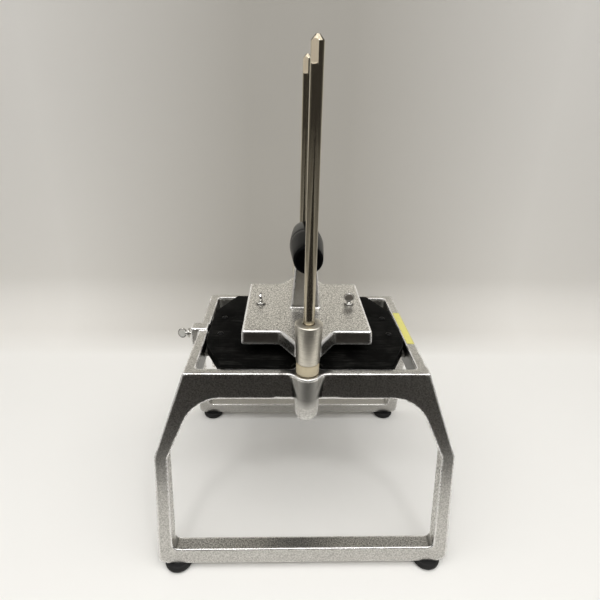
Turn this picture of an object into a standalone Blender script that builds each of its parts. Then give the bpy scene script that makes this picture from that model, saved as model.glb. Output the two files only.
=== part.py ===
"""Hand-operated vegetable dicer, modelled piece by piece.

Units are metres and +Z is up. The operator's side faces -Y, and the origin lies on the table
under the middle of the frame. The push head is drawn fully down, resting on its stop sleeves.
"""

import math

import bmesh
import bpy
from mathutils import Matrix, Vector

ASSEMBLY_NAME = "vegetable_dicer"

# Clearance between touching pieces, and how finely round shapes are drawn
GAP = 0.0003
WELD = 0.000001
MERGE = 0.00001
FLAT_ANGLE = math.radians(0.1)
SHARP_ANGLE = math.radians(40)
ROUND_STEPS = 28
SMALL_ROUND_STEPS = 16
OVAL_STEPS = 20
ARC_STEPS = 7
SHORT_ARC_STEPS = 4
PAST = 0.002

# Deck of the frame casting
DECK_WIDTH = 0.254
DECK_DEPTH = 0.1972
DECK_TOP = 0.2354
OPENING_WIDTH = 0.231
OPENING_DEPTH = 0.178
OPENING_CORNER = 0.0045
OPENING_CUT_BOTTOM = 0.190
DECK_TRIM_HEIGHT = 0.010
SIDE_HALF_WIDTH = 0.1266
SIDE_ROOT_HALF_WIDTH = 0.110
SIDE_HALF_LENGTH = 0.092
SIDE_BOTTOM = 0.2095

# Leg loops, whose faces lean outwards towards the table
FOOT_HEIGHT = 0.009
LEG_DEPTH = 0.0164
BASE_FRONT = 0.14145
BASE_HALF_WIDTH = 0.16365
BASE_CORNER = 0.008
BASE_BAR_TOP = 0.0266
KNEE_HALF_WIDTH = 0.1612
KNEE_HEIGHT = 0.1412
POST_INNER_HALF_WIDTH = 0.1474
POST_INNER_CORNER = 0.006
INNER_KNEE_HEIGHT = 0.139
ARCH_TOP = 0.2083
ARCH_RADIUS = 0.045
ARCH_CENTRE_X = 0.087

# Guide rods and the frame bosses that hold them
ROD_HALF_SPACING = 0.0945
ROD_RADIUS = 0.00555
ROD_TOP = 0.536
ROD_BOTTOM = 0.1885
ROD_TIP_RADIUS = 0.0018
ROD_TIP_HEIGHT = 0.0042
ROD_FLAT_HEIGHT = 0.0195
ROD_FLAT_DISTANCE = 0.0046
ROD_FLAT_TURN = math.radians(-29)
BOSS_TOP_RADIUS = 0.0156
BOSS_WAIST_RADIUS = 0.0133
BOSS_WAIST = 0.205
BOSS_TIP_RADIUS = 0.0125
BOSS_TIP_START = 0.187
BOSS_TIP_HEIGHT = 0.0115
BOSS_BLEND_RADIUS = 0.013
BOSS_BLEND_OVERLAP = 0.004

# Nylon stop sleeves on the frame bosses
SLEEVE_RADIUS = 0.01175
SLEEVE_TOP = 0.248

# Lug for the lock screw, on the left of the deck
LUG_OUTER_X = -0.136
LUG_INNER_X = -0.116
LUG_HALF_DEPTH = 0.008
LUG_BOTTOM = 0.214
LUG_TOP = 0.2384
LOCK_SCREW_HEIGHT = 0.228
LOCK_SCREW_COLLAR_X = -0.1388

# Blade carrier plate, and the ledges that it stands on
CARRIER_HALF_WIDTH = 0.113
CARRIER_HALF_DEPTH = 0.0886
CARRIER_TOP = 0.2384
CARRIER_BOTTOM = 0.2255
CARRIER_SIDE_HALF_LENGTH = 0.040
CARRIER_END_HALF_WIDTH = 0.0895
CARRIER_NOTCH_RADIUS = 0.0168
CARRIER_EDGE = 0.001
LEDGE_HALF_WIDTH = 0.1085
LEDGE_HALF_LENGTH = 0.038
LEDGE_BOTTOM = 0.218

# Blade grid: two layers of strips that cross in a square window
CELLS = 9
CELL_PITCH = 0.009525
BLADE_THICKNESS = 0.0008
BLADE_EDGE = 0.0001
BLADE_HEIGHT = 0.0097
BLADE_BEVEL = 0.003
BLADE_LENGTH = 0.098
UPPER_BLADE_TOP = CARRIER_BOTTOM + BLADE_HEIGHT
LOWER_BLADE_TOP = CARRIER_BOTTOM - 2 * GAP
WINDOW = CELLS * CELL_PITCH
BLADE_FRAME_HALF_WIDTH = 0.1055
BLADE_FRAME_HALF_DEPTH = 0.052
BLADE_FRAME_BOTTOM = 0.212
CARRIER_SCREW_X = 0.0985
CARRIER_SCREW_Y = 0.0205
SCREW_SHANK_RADIUS = 0.0017
SCREW_HEAD_RADIUS = 0.0035
SCREW_HEAD_HEIGHT = 0.0016
SCREW_CROWN_RADIUS = 0.0021
SCREW_CROWN_START = 0.00135
SCREW_RIM_HEIGHT = 0.0003
SCREW_TIP = 0.2184

# Push head, drawn from the underside of its plate
HEAD_BOTTOM = 0.2504
HEAD_HALF_WIDTH = 0.07035
HEAD_HALF_DEPTH = 0.06685
HEAD_THICKNESS = 0.0165
HEAD_EDGE = 0.0012
WEB_ROOT_HALF_WIDTH = 0.0295
WEB_ROOT_HALF_DEPTH = 0.0675
WEB_TIP_HALF_WIDTH = 0.0125
GUIDE_BOSS_TOP = 0.0413
GUIDE_BOSS_BOTTOM = -0.0021
GUIDE_BOSS_TOP_RADIUS = 0.01395
GUIDE_BOSS_BOTTOM_RADIUS = 0.0122
GUIDE_BOSS_HOLE = 0.0062
BUSHING_RADIUS = 0.008
BUSHING_TOP = 0.0372
BUSHING_BOTTOM = -0.0018
NECK_BASE_HALF_WIDTH = 0.0166
NECK_TOP_HALF_WIDTH = 0.01045
NECK_HALF_THICKNESS = 0.00975
NECK_ROOT = 0.0155
GRIP_AXIS = 0.0896
BAR_RADIUS = 0.009
BAR_HALF_LENGTH = 0.046

# Grip halves that slide on the T bar from either end
GRIP_HALF_LENGTH = 0.050
GRIP_MIDDLE_RADIUS = 0.019
GRIP_END_RADIUS = 0.0156
GRIP_RIM = 0.003
GRIP_NOTCH_HALF_WIDTH = 0.0125
GRIP_NOTCH_DEPTH = 0.025

# Pusher block under the push head
RECESS_HALF_WIDTH = 0.0635
RECESS_HALF_DEPTH = 0.0485
RECESS_DEPTH = 0.005
PUSHER_THICKNESS = 0.0131
FINGER_WIDTH = 0.0072
FINGER_TIP = 0.2125

# Thumb screws
THUMB_SCREW_X = 0.0523
THUMB_SCREW_Y = 0.003
THUMB_SHANK_RADIUS = 0.0024
THUMB_SHANK_LENGTH = 0.0205
THUMB_HOLE = THUMB_SHANK_RADIUS + GAP
COLLAR_RADIUS = 0.0053
COLLAR_TOP_RADIUS = 0.0049
COLLAR_HEIGHT = 0.0025
COLLAR_EDGE_HEIGHT = 0.00175
SPADE_ROOT_RADIUS = 0.0032
SPADE_NECK_RADIUS = 0.0023
SPADE_BOTTOM = 0.0036
SPADE_TOP = 0.0143
SPADE_WIDTH = 0.0131
SPADE_THICKNESS = 0.0026

# Feet and their screws
FOOT_X = 0.143
FOOT_Y = 0.133
FOOT_RADIUS = 0.0155
FOOT_TOP_RADIUS = 0.0143
FOOT_BULGE_HEIGHT = 0.005
FOOT_TOE_RADIUS = 0.0144
FOOT_TOE_HEIGHT = 0.00135
FOOT_REST_RADIUS = 0.0118
FOOT_RECESS_RADIUS = 0.006
FOOT_RECESS_DEPTH = 0.0035
FOOT_SCREW_HEAD_RADIUS = 0.0052
FOOT_SCREW_FACE_RADIUS = 0.0042
FOOT_SCREW_RADIUS = 0.0022
FOOT_SCREW_TOP = 0.0192
FOOT_SCREW_FLOOR = 0.0008
FOOT_HOLE_TOP = 0.0205

SIDES = {"left": -1, "right": 1}
ENDS = {"front": -1, "rear": 1}


def start_clean():
    """Remove whatever the file holds."""
    for item in list(bpy.data.objects):
        bpy.data.objects.remove(item, do_unlink=True)


def new_collection(name):
    """Make a collection in the scene."""
    collection = bpy.data.collections.new(name)
    bpy.context.scene.collection.children.link(collection)
    return collection


def make_finish(name, colour, roughness, metallic):
    """Make a plain material."""
    finish = bpy.data.materials.new(name)
    finish.use_nodes = True
    shader = finish.node_tree.nodes["Principled BSDF"]
    shader.inputs["Base Color"].default_value = (*colour, 1.0)
    shader.inputs["Roughness"].default_value = roughness
    shader.inputs["Metallic"].default_value = metallic
    return finish


start_clean()
PARTS = new_collection(ASSEMBLY_NAME)
CUTTERS = new_collection("cutters")

CAST_ALUMINIUM = make_finish("cast_aluminium", (0.62, 0.61, 0.59), 0.38, 1.0)
POLISHED_ROD = make_finish("polished_rod", (0.55, 0.53, 0.50), 0.12, 1.0)
BLACK_PLASTIC = make_finish("black_plastic", (0.018, 0.018, 0.018), 0.5, 0.0)
GRIP_PLASTIC = make_finish("grip_plastic", (0.010, 0.010, 0.011), 0.22, 0.0)
NYLON = make_finish("nylon", (0.80, 0.74, 0.60), 0.45, 0.0)
RUBBER = make_finish("rubber", (0.02, 0.02, 0.02), 0.75, 0.0)
PLATED_STEEL = make_finish("plated_steel", (0.70, 0.69, 0.66), 0.2, 1.0)
BLADE_STEEL = make_finish("blade_steel", (0.66, 0.67, 0.68), 0.18, 1.0)


def add_empty(name, location):
    """Make an empty that carries a group of pieces."""
    empty = bpy.data.objects.new(name, None)
    empty.location = location
    PARTS.objects.link(empty)
    return empty


def add_part(name, mesh, finish, parent, location=(0, 0, 0), rotation=(0, 0, 0)):
    """Make one physical piece, placed under its parent."""
    part = bpy.data.objects.new(name, mesh)
    part.parent = parent
    part.location = location
    part.rotation_euler = rotation
    mesh.materials.append(finish)
    PARTS.objects.link(part)
    return part


def add_tool(name, mesh, parent, location=(0, 0, 0), rotation=(0, 0, 0)):
    """Make a shape that is cut from a piece or joined to it."""
    tool = bpy.data.objects.new(name, mesh)
    tool.parent = parent
    tool.location = location
    tool.rotation_euler = rotation
    tool.hide_render = True
    tool.display_type = "WIRE"
    CUTTERS.objects.link(tool)
    return tool


def combine(part, tool, operation):
    """Add a Boolean step to a piece."""
    step = part.modifiers.new(tool.name, "BOOLEAN")
    step.operation = operation
    step.solver = "EXACT"
    step.object = tool


def join(part, tool):
    """Make a shape one body with a piece."""
    combine(part, tool, "UNION")


def cut(part, tool):
    """Take a shape out of a piece."""
    combine(part, tool, "DIFFERENCE")


def chamfer_edges(part, width):
    """Break the sharp edges of a piece."""
    step = part.modifiers.new("broken_edges", "BEVEL")
    step.width = width
    step.segments = 1
    step.limit_method = "ANGLE"
    step.angle_limit = SHARP_ANGLE


def mesh_from(name, shape):
    """Turn a bmesh into a mesh."""
    mesh = bpy.data.meshes.new(name)
    shape.to_mesh(mesh)
    shape.free()
    return mesh


def block(name, low, high):
    """Box between two corners."""
    shape = bmesh.new()
    bmesh.ops.create_cube(shape, size=1.0)
    bmesh.ops.scale(shape, vec=Vector(high) - Vector(low), verts=shape.verts)
    bmesh.ops.translate(shape, vec=(Vector(high) + Vector(low)) / 2, verts=shape.verts)
    return mesh_from(name, shape)


def taper(name, low_radius, high_radius, low, high, steps=ROUND_STEPS):
    """Upright tapered cylinder, whose facets stand half a step round from a turned piece's."""
    shape = bmesh.new()
    bmesh.ops.create_cone(
        shape, cap_ends=True, segments=steps, radius1=low_radius, radius2=high_radius,
        depth=high - low, matrix=Matrix.Rotation(math.pi / steps, 4, "Z"))
    bmesh.ops.translate(shape, vec=(0, 0, (low + high) / 2), verts=shape.verts)
    mesh = mesh_from(name, shape)
    mesh.shade_smooth()
    mesh.set_sharp_from_angle(angle=SHARP_ANGLE)
    return mesh


def cylinder(name, radius, low, high, steps=ROUND_STEPS):
    """Upright cylinder between two heights."""
    return taper(name, radius, radius, low, high, steps)


def profile_mesh(name, profile, closed):
    """Chain of edges through (radius, height) points, for turning."""
    shape = bmesh.new()
    points = [shape.verts.new((radius, 0, height)) for radius, height in profile]
    for start, end in zip(points, points[1:]):
        shape.edges.new((start, end))
    if closed:
        shape.edges.new((points[-1], points[0]))
    return mesh_from(name, shape)


def turn(item, steps=ROUND_STEPS):
    """Turn an object's profile about its own Z axis."""
    step = item.modifiers.new("turned", "SCREW")
    step.axis = "Z"
    step.angle = math.tau
    step.steps = steps
    step.render_steps = steps
    step.use_merge_vertices = True
    step.merge_threshold = MERGE
    step.use_smooth_shade = True
    return item


def arc(centre_x, centre_y, radius, start, end, steps=ARC_STEPS):
    """Points along an arc, both ends included, with angles in degrees."""
    angles = [math.radians(start + (end - start) * i / steps) for i in range(steps + 1)]
    return [(centre_x + radius * math.cos(a), centre_y + radius * math.sin(a)) for a in angles]


def mirrored_loop(right_half):
    """Close a loop whose right half is given, by its mirror image in x, and drop doubled points."""
    loop = right_half + [(-x, y) for x, y in reversed(right_half)]
    return [point for i, point in enumerate(loop) if math.dist(point, loop[i - 1]) > WELD]


def outline_mesh(name, loops, thickness):
    """Plate from closed loops of (x, y) points, centred on its own XY plane."""
    curve = bpy.data.curves.new(name, "CURVE")
    curve.dimensions = "2D"
    curve.fill_mode = "BOTH"
    curve.extrude = thickness / 2
    for loop in loops:
        spline = curve.splines.new("POLY")
        spline.points.add(len(loop) - 1)
        for point, (x, y) in zip(spline.points, loop):
            point.co = (x, y, 0, 1)
        spline.use_cyclic_u = True
    guide = bpy.data.objects.new(name, curve)
    CUTTERS.objects.link(guide)
    bpy.context.view_layer.update()
    evaluated = guide.evaluated_get(bpy.context.evaluated_depsgraph_get())
    mesh = bpy.data.meshes.new_from_object(evaluated)
    bpy.data.objects.remove(guide, do_unlink=True)
    shape = bmesh.new()
    shape.from_mesh(mesh)
    bmesh.ops.remove_doubles(shape, verts=shape.verts, dist=WELD)
    bmesh.ops.dissolve_limit(shape, angle_limit=FLAT_ANGLE, verts=shape.verts, edges=shape.edges)
    shape.to_mesh(mesh)
    shape.free()
    return mesh


def raised(mesh, height):
    """Lift a mesh along Z inside its own frame."""
    mesh.transform(Matrix.Translation((0, 0, height)))
    return mesh


def leg_loop_mesh(name):
    """One leg loop: an arched outline, leaning so that its base stands further out."""
    outer = [
        (DECK_WIDTH / 2, DECK_TOP + PAST),
        (DECK_WIDTH / 2, DECK_TOP),
        (KNEE_HALF_WIDTH, KNEE_HEIGHT),
    ]
    outer += arc(BASE_HALF_WIDTH - BASE_CORNER, FOOT_HEIGHT + BASE_CORNER, BASE_CORNER, 0, -90)
    arch_centre_y = ARCH_TOP - ARCH_RADIUS
    to_knee_x = POST_INNER_HALF_WIDTH - ARCH_CENTRE_X
    to_knee_y = INNER_KNEE_HEIGHT - arch_centre_y
    to_knee = math.hypot(to_knee_x, to_knee_y)
    tangent = math.atan2(to_knee_y, to_knee_x) + math.acos(ARCH_RADIUS / to_knee)
    inner = arc(ARCH_CENTRE_X, arch_centre_y, ARCH_RADIUS, 90, math.degrees(tangent))
    inner += [(POST_INNER_HALF_WIDTH, INNER_KNEE_HEIGHT)]
    inner += arc(
        POST_INNER_HALF_WIDTH - POST_INNER_CORNER, BASE_BAR_TOP + POST_INNER_CORNER,
        POST_INNER_CORNER, 0, -90)
    mesh = outline_mesh(name, [mirrored_loop(outer), mirrored_loop(inner)], LEG_DEPTH)
    lean = (BASE_FRONT - DECK_DEPTH / 2) / (DECK_TOP - FOOT_HEIGHT)
    middle = -DECK_DEPTH / 2 + LEG_DEPTH / 2 - DECK_TOP * lean
    mesh.transform(Matrix(((1, 0, 0, 0), (0, lean, -1, middle), (0, 1, 0, 0), (0, 0, 0, 1))))
    return mesh


def rounded_rectangle(half_width, half_depth, corner):
    """Loop of a rectangle with round corners."""
    right = arc(half_width - corner, corner - half_depth, corner, -90, 0)
    right += arc(half_width - corner, half_depth - corner, corner, 0, 90)
    return mirrored_loop(right)


def frame_boss_radius(height):
    """Radius of the tapered rod boss at a height."""
    share = (DECK_TOP - height) / (DECK_TOP - BOSS_WAIST)
    return BOSS_TOP_RADIUS + (BOSS_WAIST_RADIUS - BOSS_TOP_RADIUS) * share


def frame_boss_profile():
    """Lower part of a rod boss: a tapered barrel with a round lower end."""
    start = ARCH_TOP + BOSS_BLEND_OVERLAP
    start_radius = frame_boss_radius(start) - GAP
    profile = [(0, start), (start_radius, start), (BOSS_WAIST_RADIUS, BOSS_WAIST)]
    round_end = arc(0, 0, 1, 0, -90)
    profile += [(BOSS_TIP_RADIUS * x, BOSS_TIP_START + BOSS_TIP_HEIGHT * y) for x, y in round_end[:-1]]
    return profile + [(0, BOSS_TIP_START - BOSS_TIP_HEIGHT)]


def boss_blend_mesh(name):
    """Upper part of the front rod boss, led into the face of the deck by a hollow curve each side."""
    axis_y = -ROD_HALF_SPACING
    blend_y = -DECK_DEPTH / 2 - BOSS_BLEND_RADIUS
    drop = axis_y - blend_y
    blend_x = math.sqrt((BOSS_TOP_RADIUS + BOSS_BLEND_RADIUS) ** 2 - drop ** 2)
    touch = math.degrees(math.atan2(-drop, blend_x))
    right = arc(0, axis_y, BOSS_TOP_RADIUS, -90, touch, SHORT_ARC_STEPS)
    right += arc(blend_x, blend_y, BOSS_BLEND_RADIUS, 180 + touch, 90, SHORT_ARC_STEPS)
    right += [(blend_x, axis_y)]
    right += arc(0, axis_y, BOSS_TOP_RADIUS, 0, 90)
    low = ARCH_TOP + GAP
    high = DECK_TOP + PAST
    mesh = raised(outline_mesh(name, [mirrored_loop(right)], high - low), (low + high) / 2)
    narrow = frame_boss_radius(low) / BOSS_TOP_RADIUS
    for point in mesh.vertices:
        if point.co.z < (low + high) / 2:
            point.co.x *= narrow
            point.co.y = axis_y + (point.co.y - axis_y) * narrow
    return mesh


def build_frame_casting(root):
    """Deck ring, leg loops, rod bosses, ledges and lug in one casting."""
    frame = add_part("frame_casting", leg_loop_mesh("frame_casting"), CAST_ALUMINIUM, root)
    rear_loop = leg_loop_mesh("rear_leg_loop")
    join(frame, add_tool("rear_leg_loop", rear_loop, root, rotation=(0, 0, math.pi)))
    for side, sign in SIDES.items():
        reach = sorted((sign * SIDE_ROOT_HALF_WIDTH, sign * SIDE_HALF_WIDTH))
        beam = block(
            f"{side}_beam", (reach[0], -SIDE_HALF_LENGTH, SIDE_BOTTOM),
            (reach[1], SIDE_HALF_LENGTH, DECK_TOP + PAST / 2))
        join(frame, add_tool(f"{side}_beam", beam, root))
    opening_loop = rounded_rectangle(OPENING_WIDTH / 2, OPENING_DEPTH / 2, OPENING_CORNER)
    opening_depth = DECK_TOP + 2 * PAST - OPENING_CUT_BOTTOM
    opening = outline_mesh("deck_opening", [opening_loop], opening_depth)
    raised(opening, OPENING_CUT_BOTTOM + opening_depth / 2)
    cut(frame, add_tool("deck_opening", opening, root))
    for side, sign in SIDES.items():
        reach = sorted((sign * LEDGE_HALF_WIDTH, sign * (OPENING_WIDTH / 2 + PAST)))
        ledge = block(
            f"{side}_ledge", (reach[0], -LEDGE_HALF_LENGTH, LEDGE_BOTTOM),
            (reach[1], LEDGE_HALF_LENGTH, CARRIER_BOTTOM - GAP))
        join(frame, add_tool(f"{side}_ledge", ledge, root))
    for end, sign in ENDS.items():
        blend = boss_blend_mesh(f"{end}_boss_blend")
        face_out = (0, 0, math.pi * (sign + 1) / 2)
        join(frame, add_tool(f"{end}_boss_blend", blend, root, rotation=face_out))
        boss = profile_mesh(f"{end}_frame_boss", frame_boss_profile(), closed=False)
        place = (0, sign * ROD_HALF_SPACING, 0)
        join(frame, turn(add_tool(f"{end}_frame_boss", boss, root, location=place)))
    reach = DECK_WIDTH
    trim = block("deck_trim", (-reach, -reach, DECK_TOP), (reach, reach, DECK_TOP + DECK_TRIM_HEIGHT))
    cut(frame, add_tool("deck_trim", trim, root))
    for end, sign in ENDS.items():
        bore = cylinder(f"{end}_rod_bore", ROD_RADIUS + GAP, ROD_BOTTOM - GAP, DECK_TOP + PAST)
        place = (0, sign * ROD_HALF_SPACING, 0)
        cut(frame, add_tool(f"{end}_rod_bore", bore, root, location=place))
    lug = block(
        "lug", (LUG_OUTER_X, -LUG_HALF_DEPTH, LUG_BOTTOM), (LUG_INNER_X, LUG_HALF_DEPTH, LUG_TOP))
    join(frame, add_tool("lug", lug, root))
    lock_bore = cylinder(
        "lock_bore", THUMB_HOLE, LUG_OUTER_X - PAST, PAST - OPENING_WIDTH / 2, SMALL_ROUND_STEPS)
    lock_place = (0, 0, LOCK_SCREW_HEIGHT)
    cut(frame, add_tool("lock_bore", lock_bore, root, lock_place, (0, math.pi / 2, 0)))
    for name, place in foot_places().items():
        hole = cylinder(
            f"{name}_hole", FOOT_SCREW_RADIUS + GAP, 0, FOOT_HOLE_TOP, SMALL_ROUND_STEPS)
        cut(frame, add_tool(f"{name}_hole", hole, root, location=place))


def foot_places():
    """Name and place of each foot."""
    return {
        f"{end}_{side}": (side_sign * FOOT_X, end_sign * FOOT_Y, 0)
        for end, end_sign in ENDS.items()
        for side, side_sign in SIDES.items()
    }


def build_guide_rods(root):
    """Polished rods with a pointed tip and two flats for a wrench."""
    profile = [
        (0, ROD_TOP),
        (ROD_TIP_RADIUS, ROD_TOP),
        (ROD_RADIUS, ROD_TOP - ROD_TIP_HEIGHT),
        (ROD_RADIUS, ROD_BOTTOM),
        (0, ROD_BOTTOM),
    ]
    for end, sign in ENDS.items():
        name = f"guide_rod_{end}"
        place = (0, sign * ROD_HALF_SPACING, 0)
        rod = turn(add_part(name, profile_mesh(name, profile, closed=False), POLISHED_ROD, root, place))
        for side, side_sign in SIDES.items():
            reach = sorted((side_sign * ROD_FLAT_DISTANCE, side_sign * 2 * ROD_RADIUS))
            flat = block(
                f"{end}_rod_{side}_flat", (-2 * ROD_RADIUS, reach[0], ROD_TOP - ROD_FLAT_HEIGHT),
                (2 * ROD_RADIUS, reach[1], ROD_TOP + PAST))
            cut(rod, add_tool(f"{end}_rod_{side}_flat", flat, root, place, (0, 0, ROD_FLAT_TURN)))


def ring_profile(inner, outer, low, high):
    """Profile of a plain ring."""
    return [(outer, high), (outer, low), (inner, low), (inner, high)]


def build_stop_sleeves(root):
    """Nylon sleeves that stop the push head at the bottom of its travel."""
    profile = ring_profile(ROD_RADIUS + GAP, SLEEVE_RADIUS, DECK_TOP + GAP, SLEEVE_TOP)
    for end, sign in ENDS.items():
        name = f"stop_sleeve_{end}"
        mesh = profile_mesh(name, profile, closed=True)
        turn(add_part(name, mesh, NYLON, root, (0, sign * ROD_HALF_SPACING, 0)))


def build_feet(root):
    """Rubber feet, each held by a screw from below."""
    hole = FOOT_SCREW_RADIUS + GAP
    foot_profile = [
        (FOOT_TOP_RADIUS, FOOT_HEIGHT - GAP),
        (FOOT_RADIUS, FOOT_BULGE_HEIGHT),
        (FOOT_TOE_RADIUS, FOOT_TOE_HEIGHT),
        (FOOT_REST_RADIUS, 0),
        (FOOT_RECESS_RADIUS, 0),
        (FOOT_RECESS_RADIUS, FOOT_RECESS_DEPTH),
        (hole, FOOT_RECESS_DEPTH),
        (hole, FOOT_HEIGHT - GAP),
    ]
    head_top = FOOT_RECESS_DEPTH - GAP
    screw_profile = [
        (0, FOOT_SCREW_TOP),
        (FOOT_SCREW_RADIUS, FOOT_SCREW_TOP),
        (FOOT_SCREW_RADIUS, head_top),
        (FOOT_SCREW_HEAD_RADIUS, head_top),
        (FOOT_SCREW_HEAD_RADIUS, FOOT_SCREW_FLOOR + GAP),
        (FOOT_SCREW_FACE_RADIUS, FOOT_SCREW_FLOOR),
        (0, FOOT_SCREW_FLOOR),
    ]
    for where, place in foot_places().items():
        foot_mesh = profile_mesh(f"rubber_foot_{where}", foot_profile, closed=True)
        turn(add_part(f"rubber_foot_{where}", foot_mesh, RUBBER, root, place))
        screw_mesh = profile_mesh(f"foot_screw_{where}", screw_profile, closed=False)
        screw = add_part(f"foot_screw_{where}", screw_mesh, PLATED_STEEL, root, place)
        turn(screw, SMALL_ROUND_STEPS)


def blade_places():
    """Offsets of the blades of one layer from the middle of the window."""
    return [CELL_PITCH * (i + 1) - WINDOW / 2 for i in range(CELLS - 1)]


def blade_slots(name, half_length, low, high):
    """Cutter for the slots of one layer of blades that run along X."""
    half_slot = BLADE_THICKNESS / 2 + GAP
    shape = bmesh.new()
    for offset in blade_places():
        made = bmesh.ops.create_cube(shape, size=1.0)["verts"]
        bmesh.ops.scale(shape, vec=(2 * half_length, 2 * half_slot, high - low), verts=made)
        bmesh.ops.translate(shape, vec=(0, offset, (low + high) / 2), verts=made)
    return mesh_from(name, shape)


def blade_mesh(name, top):
    """Strip along X with a ground upper edge."""
    mesh = block(
        name, (-BLADE_LENGTH / 2, -BLADE_THICKNESS / 2, top - BLADE_HEIGHT),
        (BLADE_LENGTH / 2, BLADE_THICKNESS / 2, top - BLADE_BEVEL))
    shape = bmesh.new()
    shape.from_mesh(mesh)
    upper = [face for face in shape.faces if face.normal.z > 0.5]
    raised_face = bmesh.ops.extrude_face_region(shape, geom=upper)["geom"]
    edge_points = [item for item in raised_face if isinstance(item, bmesh.types.BMVert)]
    bmesh.ops.delete(shape, geom=upper, context="FACES_ONLY")
    bmesh.ops.translate(shape, vec=(0, 0, BLADE_BEVEL), verts=edge_points)
    bmesh.ops.scale(shape, vec=(1, BLADE_EDGE / BLADE_THICKNESS, 1), verts=edge_points)
    shape.to_mesh(mesh)
    shape.free()
    return mesh


def build_blades(root):
    """Upper blades run along X and lower blades along Y."""
    for number, offset in enumerate(blade_places(), start=1):
        upper = blade_mesh(f"upper_blade_{number}", UPPER_BLADE_TOP - GAP)
        add_part(f"upper_blade_{number}", upper, BLADE_STEEL, root, (0, offset, 0))
        lower = blade_mesh(f"lower_blade_{number}", LOWER_BLADE_TOP)
        turned = (0, 0, math.pi / 2)
        add_part(f"lower_blade_{number}", lower, BLADE_STEEL, root, (offset, 0, 0), turned)


def carrier_loop():
    """Eight-sided outline with a round notch for the rod boss at each end."""
    into_plate = ROD_HALF_SPACING - CARRIER_HALF_DEPTH
    notch_end = math.degrees(math.asin(into_plate / CARRIER_NOTCH_RADIUS))
    front = arc(0, -ROD_HALF_SPACING, CARRIER_NOTCH_RADIUS, 90, notch_end)
    front += [(CARRIER_END_HALF_WIDTH, -CARRIER_HALF_DEPTH)]
    front += [(CARRIER_HALF_WIDTH, -CARRIER_SIDE_HALF_LENGTH)]
    return mirrored_loop(front + [(x, -y) for x, y in reversed(front)])


def screw_places():
    """Places of the four screws that hold the blade frame to the carrier plate."""
    return {
        f"{end}_{side}": (side_sign * CARRIER_SCREW_X, end_sign * CARRIER_SCREW_Y, 0)
        for end, end_sign in ENDS.items()
        for side, side_sign in SIDES.items()
    }


def square_loop(half):
    """Loop of a square."""
    return [(-half, -half), (half, -half), (half, half), (-half, half)]


def build_blade_carrier(root):
    """Plastic plate that drops into the deck, with slots for the upper blades."""
    thickness = CARRIER_TOP - CARRIER_BOTTOM
    mesh = outline_mesh("blade_carrier", [carrier_loop(), square_loop(WINDOW / 2)], thickness)
    raised(mesh, CARRIER_BOTTOM + thickness / 2)
    carrier = add_part("blade_carrier", mesh, BLACK_PLASTIC, root)
    chamfer_edges(carrier, CARRIER_EDGE)
    slots = blade_slots("upper_slots", BLADE_LENGTH / 2 + GAP, CARRIER_BOTTOM - PAST, UPPER_BLADE_TOP)
    cut(carrier, add_tool("upper_slots", slots, root))
    for where, place in screw_places().items():
        hole = cylinder(
            f"{where}_carrier_hole", SCREW_SHANK_RADIUS + GAP, CARRIER_BOTTOM - PAST,
            CARRIER_TOP + PAST, SMALL_ROUND_STEPS)
        cut(carrier, add_tool(f"{where}_carrier_hole", hole, root, location=place))


def build_blade_frame(root):
    """Metal frame under the plate, with slots for the lower blades."""
    half_width = BLADE_FRAME_HALF_WIDTH
    half_depth = BLADE_FRAME_HALF_DEPTH
    top = CARRIER_BOTTOM - GAP
    thickness = top - BLADE_FRAME_BOTTOM
    loop = rounded_rectangle(half_width, half_depth, OPENING_CORNER)
    mesh = outline_mesh("blade_frame", [loop, square_loop(WINDOW / 2)], thickness)
    raised(mesh, BLADE_FRAME_BOTTOM + thickness / 2)
    frame = add_part("blade_frame", mesh, CAST_ALUMINIUM, root)
    slot_bottom = LOWER_BLADE_TOP - BLADE_HEIGHT - GAP
    slots = blade_slots("lower_slots", BLADE_LENGTH / 2 + GAP, slot_bottom, top + PAST)
    cut(frame, add_tool("lower_slots", slots, root, rotation=(0, 0, math.pi / 2)))
    for where, place in screw_places().items():
        hole = cylinder(
            f"{where}_frame_hole", SCREW_SHANK_RADIUS + GAP, SCREW_TIP - PAST, top + PAST,
            SMALL_ROUND_STEPS)
        cut(frame, add_tool(f"{where}_frame_hole", hole, root, location=place))


def build_carrier_screws(root):
    """Round-headed screws through the plate into the blade frame."""
    seat = CARRIER_TOP + GAP
    profile = [
        (0, seat + SCREW_HEAD_HEIGHT),
        (SCREW_CROWN_RADIUS, seat + SCREW_CROWN_START),
        (SCREW_HEAD_RADIUS, seat + SCREW_RIM_HEIGHT),
        (SCREW_HEAD_RADIUS, seat),
        (SCREW_SHANK_RADIUS, seat),
        (SCREW_SHANK_RADIUS, SCREW_TIP),
        (0, SCREW_TIP),
    ]
    for where, place in screw_places().items():
        name = f"carrier_screw_{where}"
        screw = add_part(name, profile_mesh(name, profile, closed=False), PLATED_STEEL, root, place)
        turn(screw, SMALL_ROUND_STEPS)


def head_loop():
    """Plate outline, with webs that narrow towards the guide bosses."""
    front = [
        (WEB_TIP_HALF_WIDTH, -ROD_HALF_SPACING),
        (WEB_ROOT_HALF_WIDTH, -WEB_ROOT_HALF_DEPTH),
        (HEAD_HALF_WIDTH, -HEAD_HALF_DEPTH),
    ]
    return mirrored_loop(front + [(x, -y) for x, y in reversed(front)])


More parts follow.
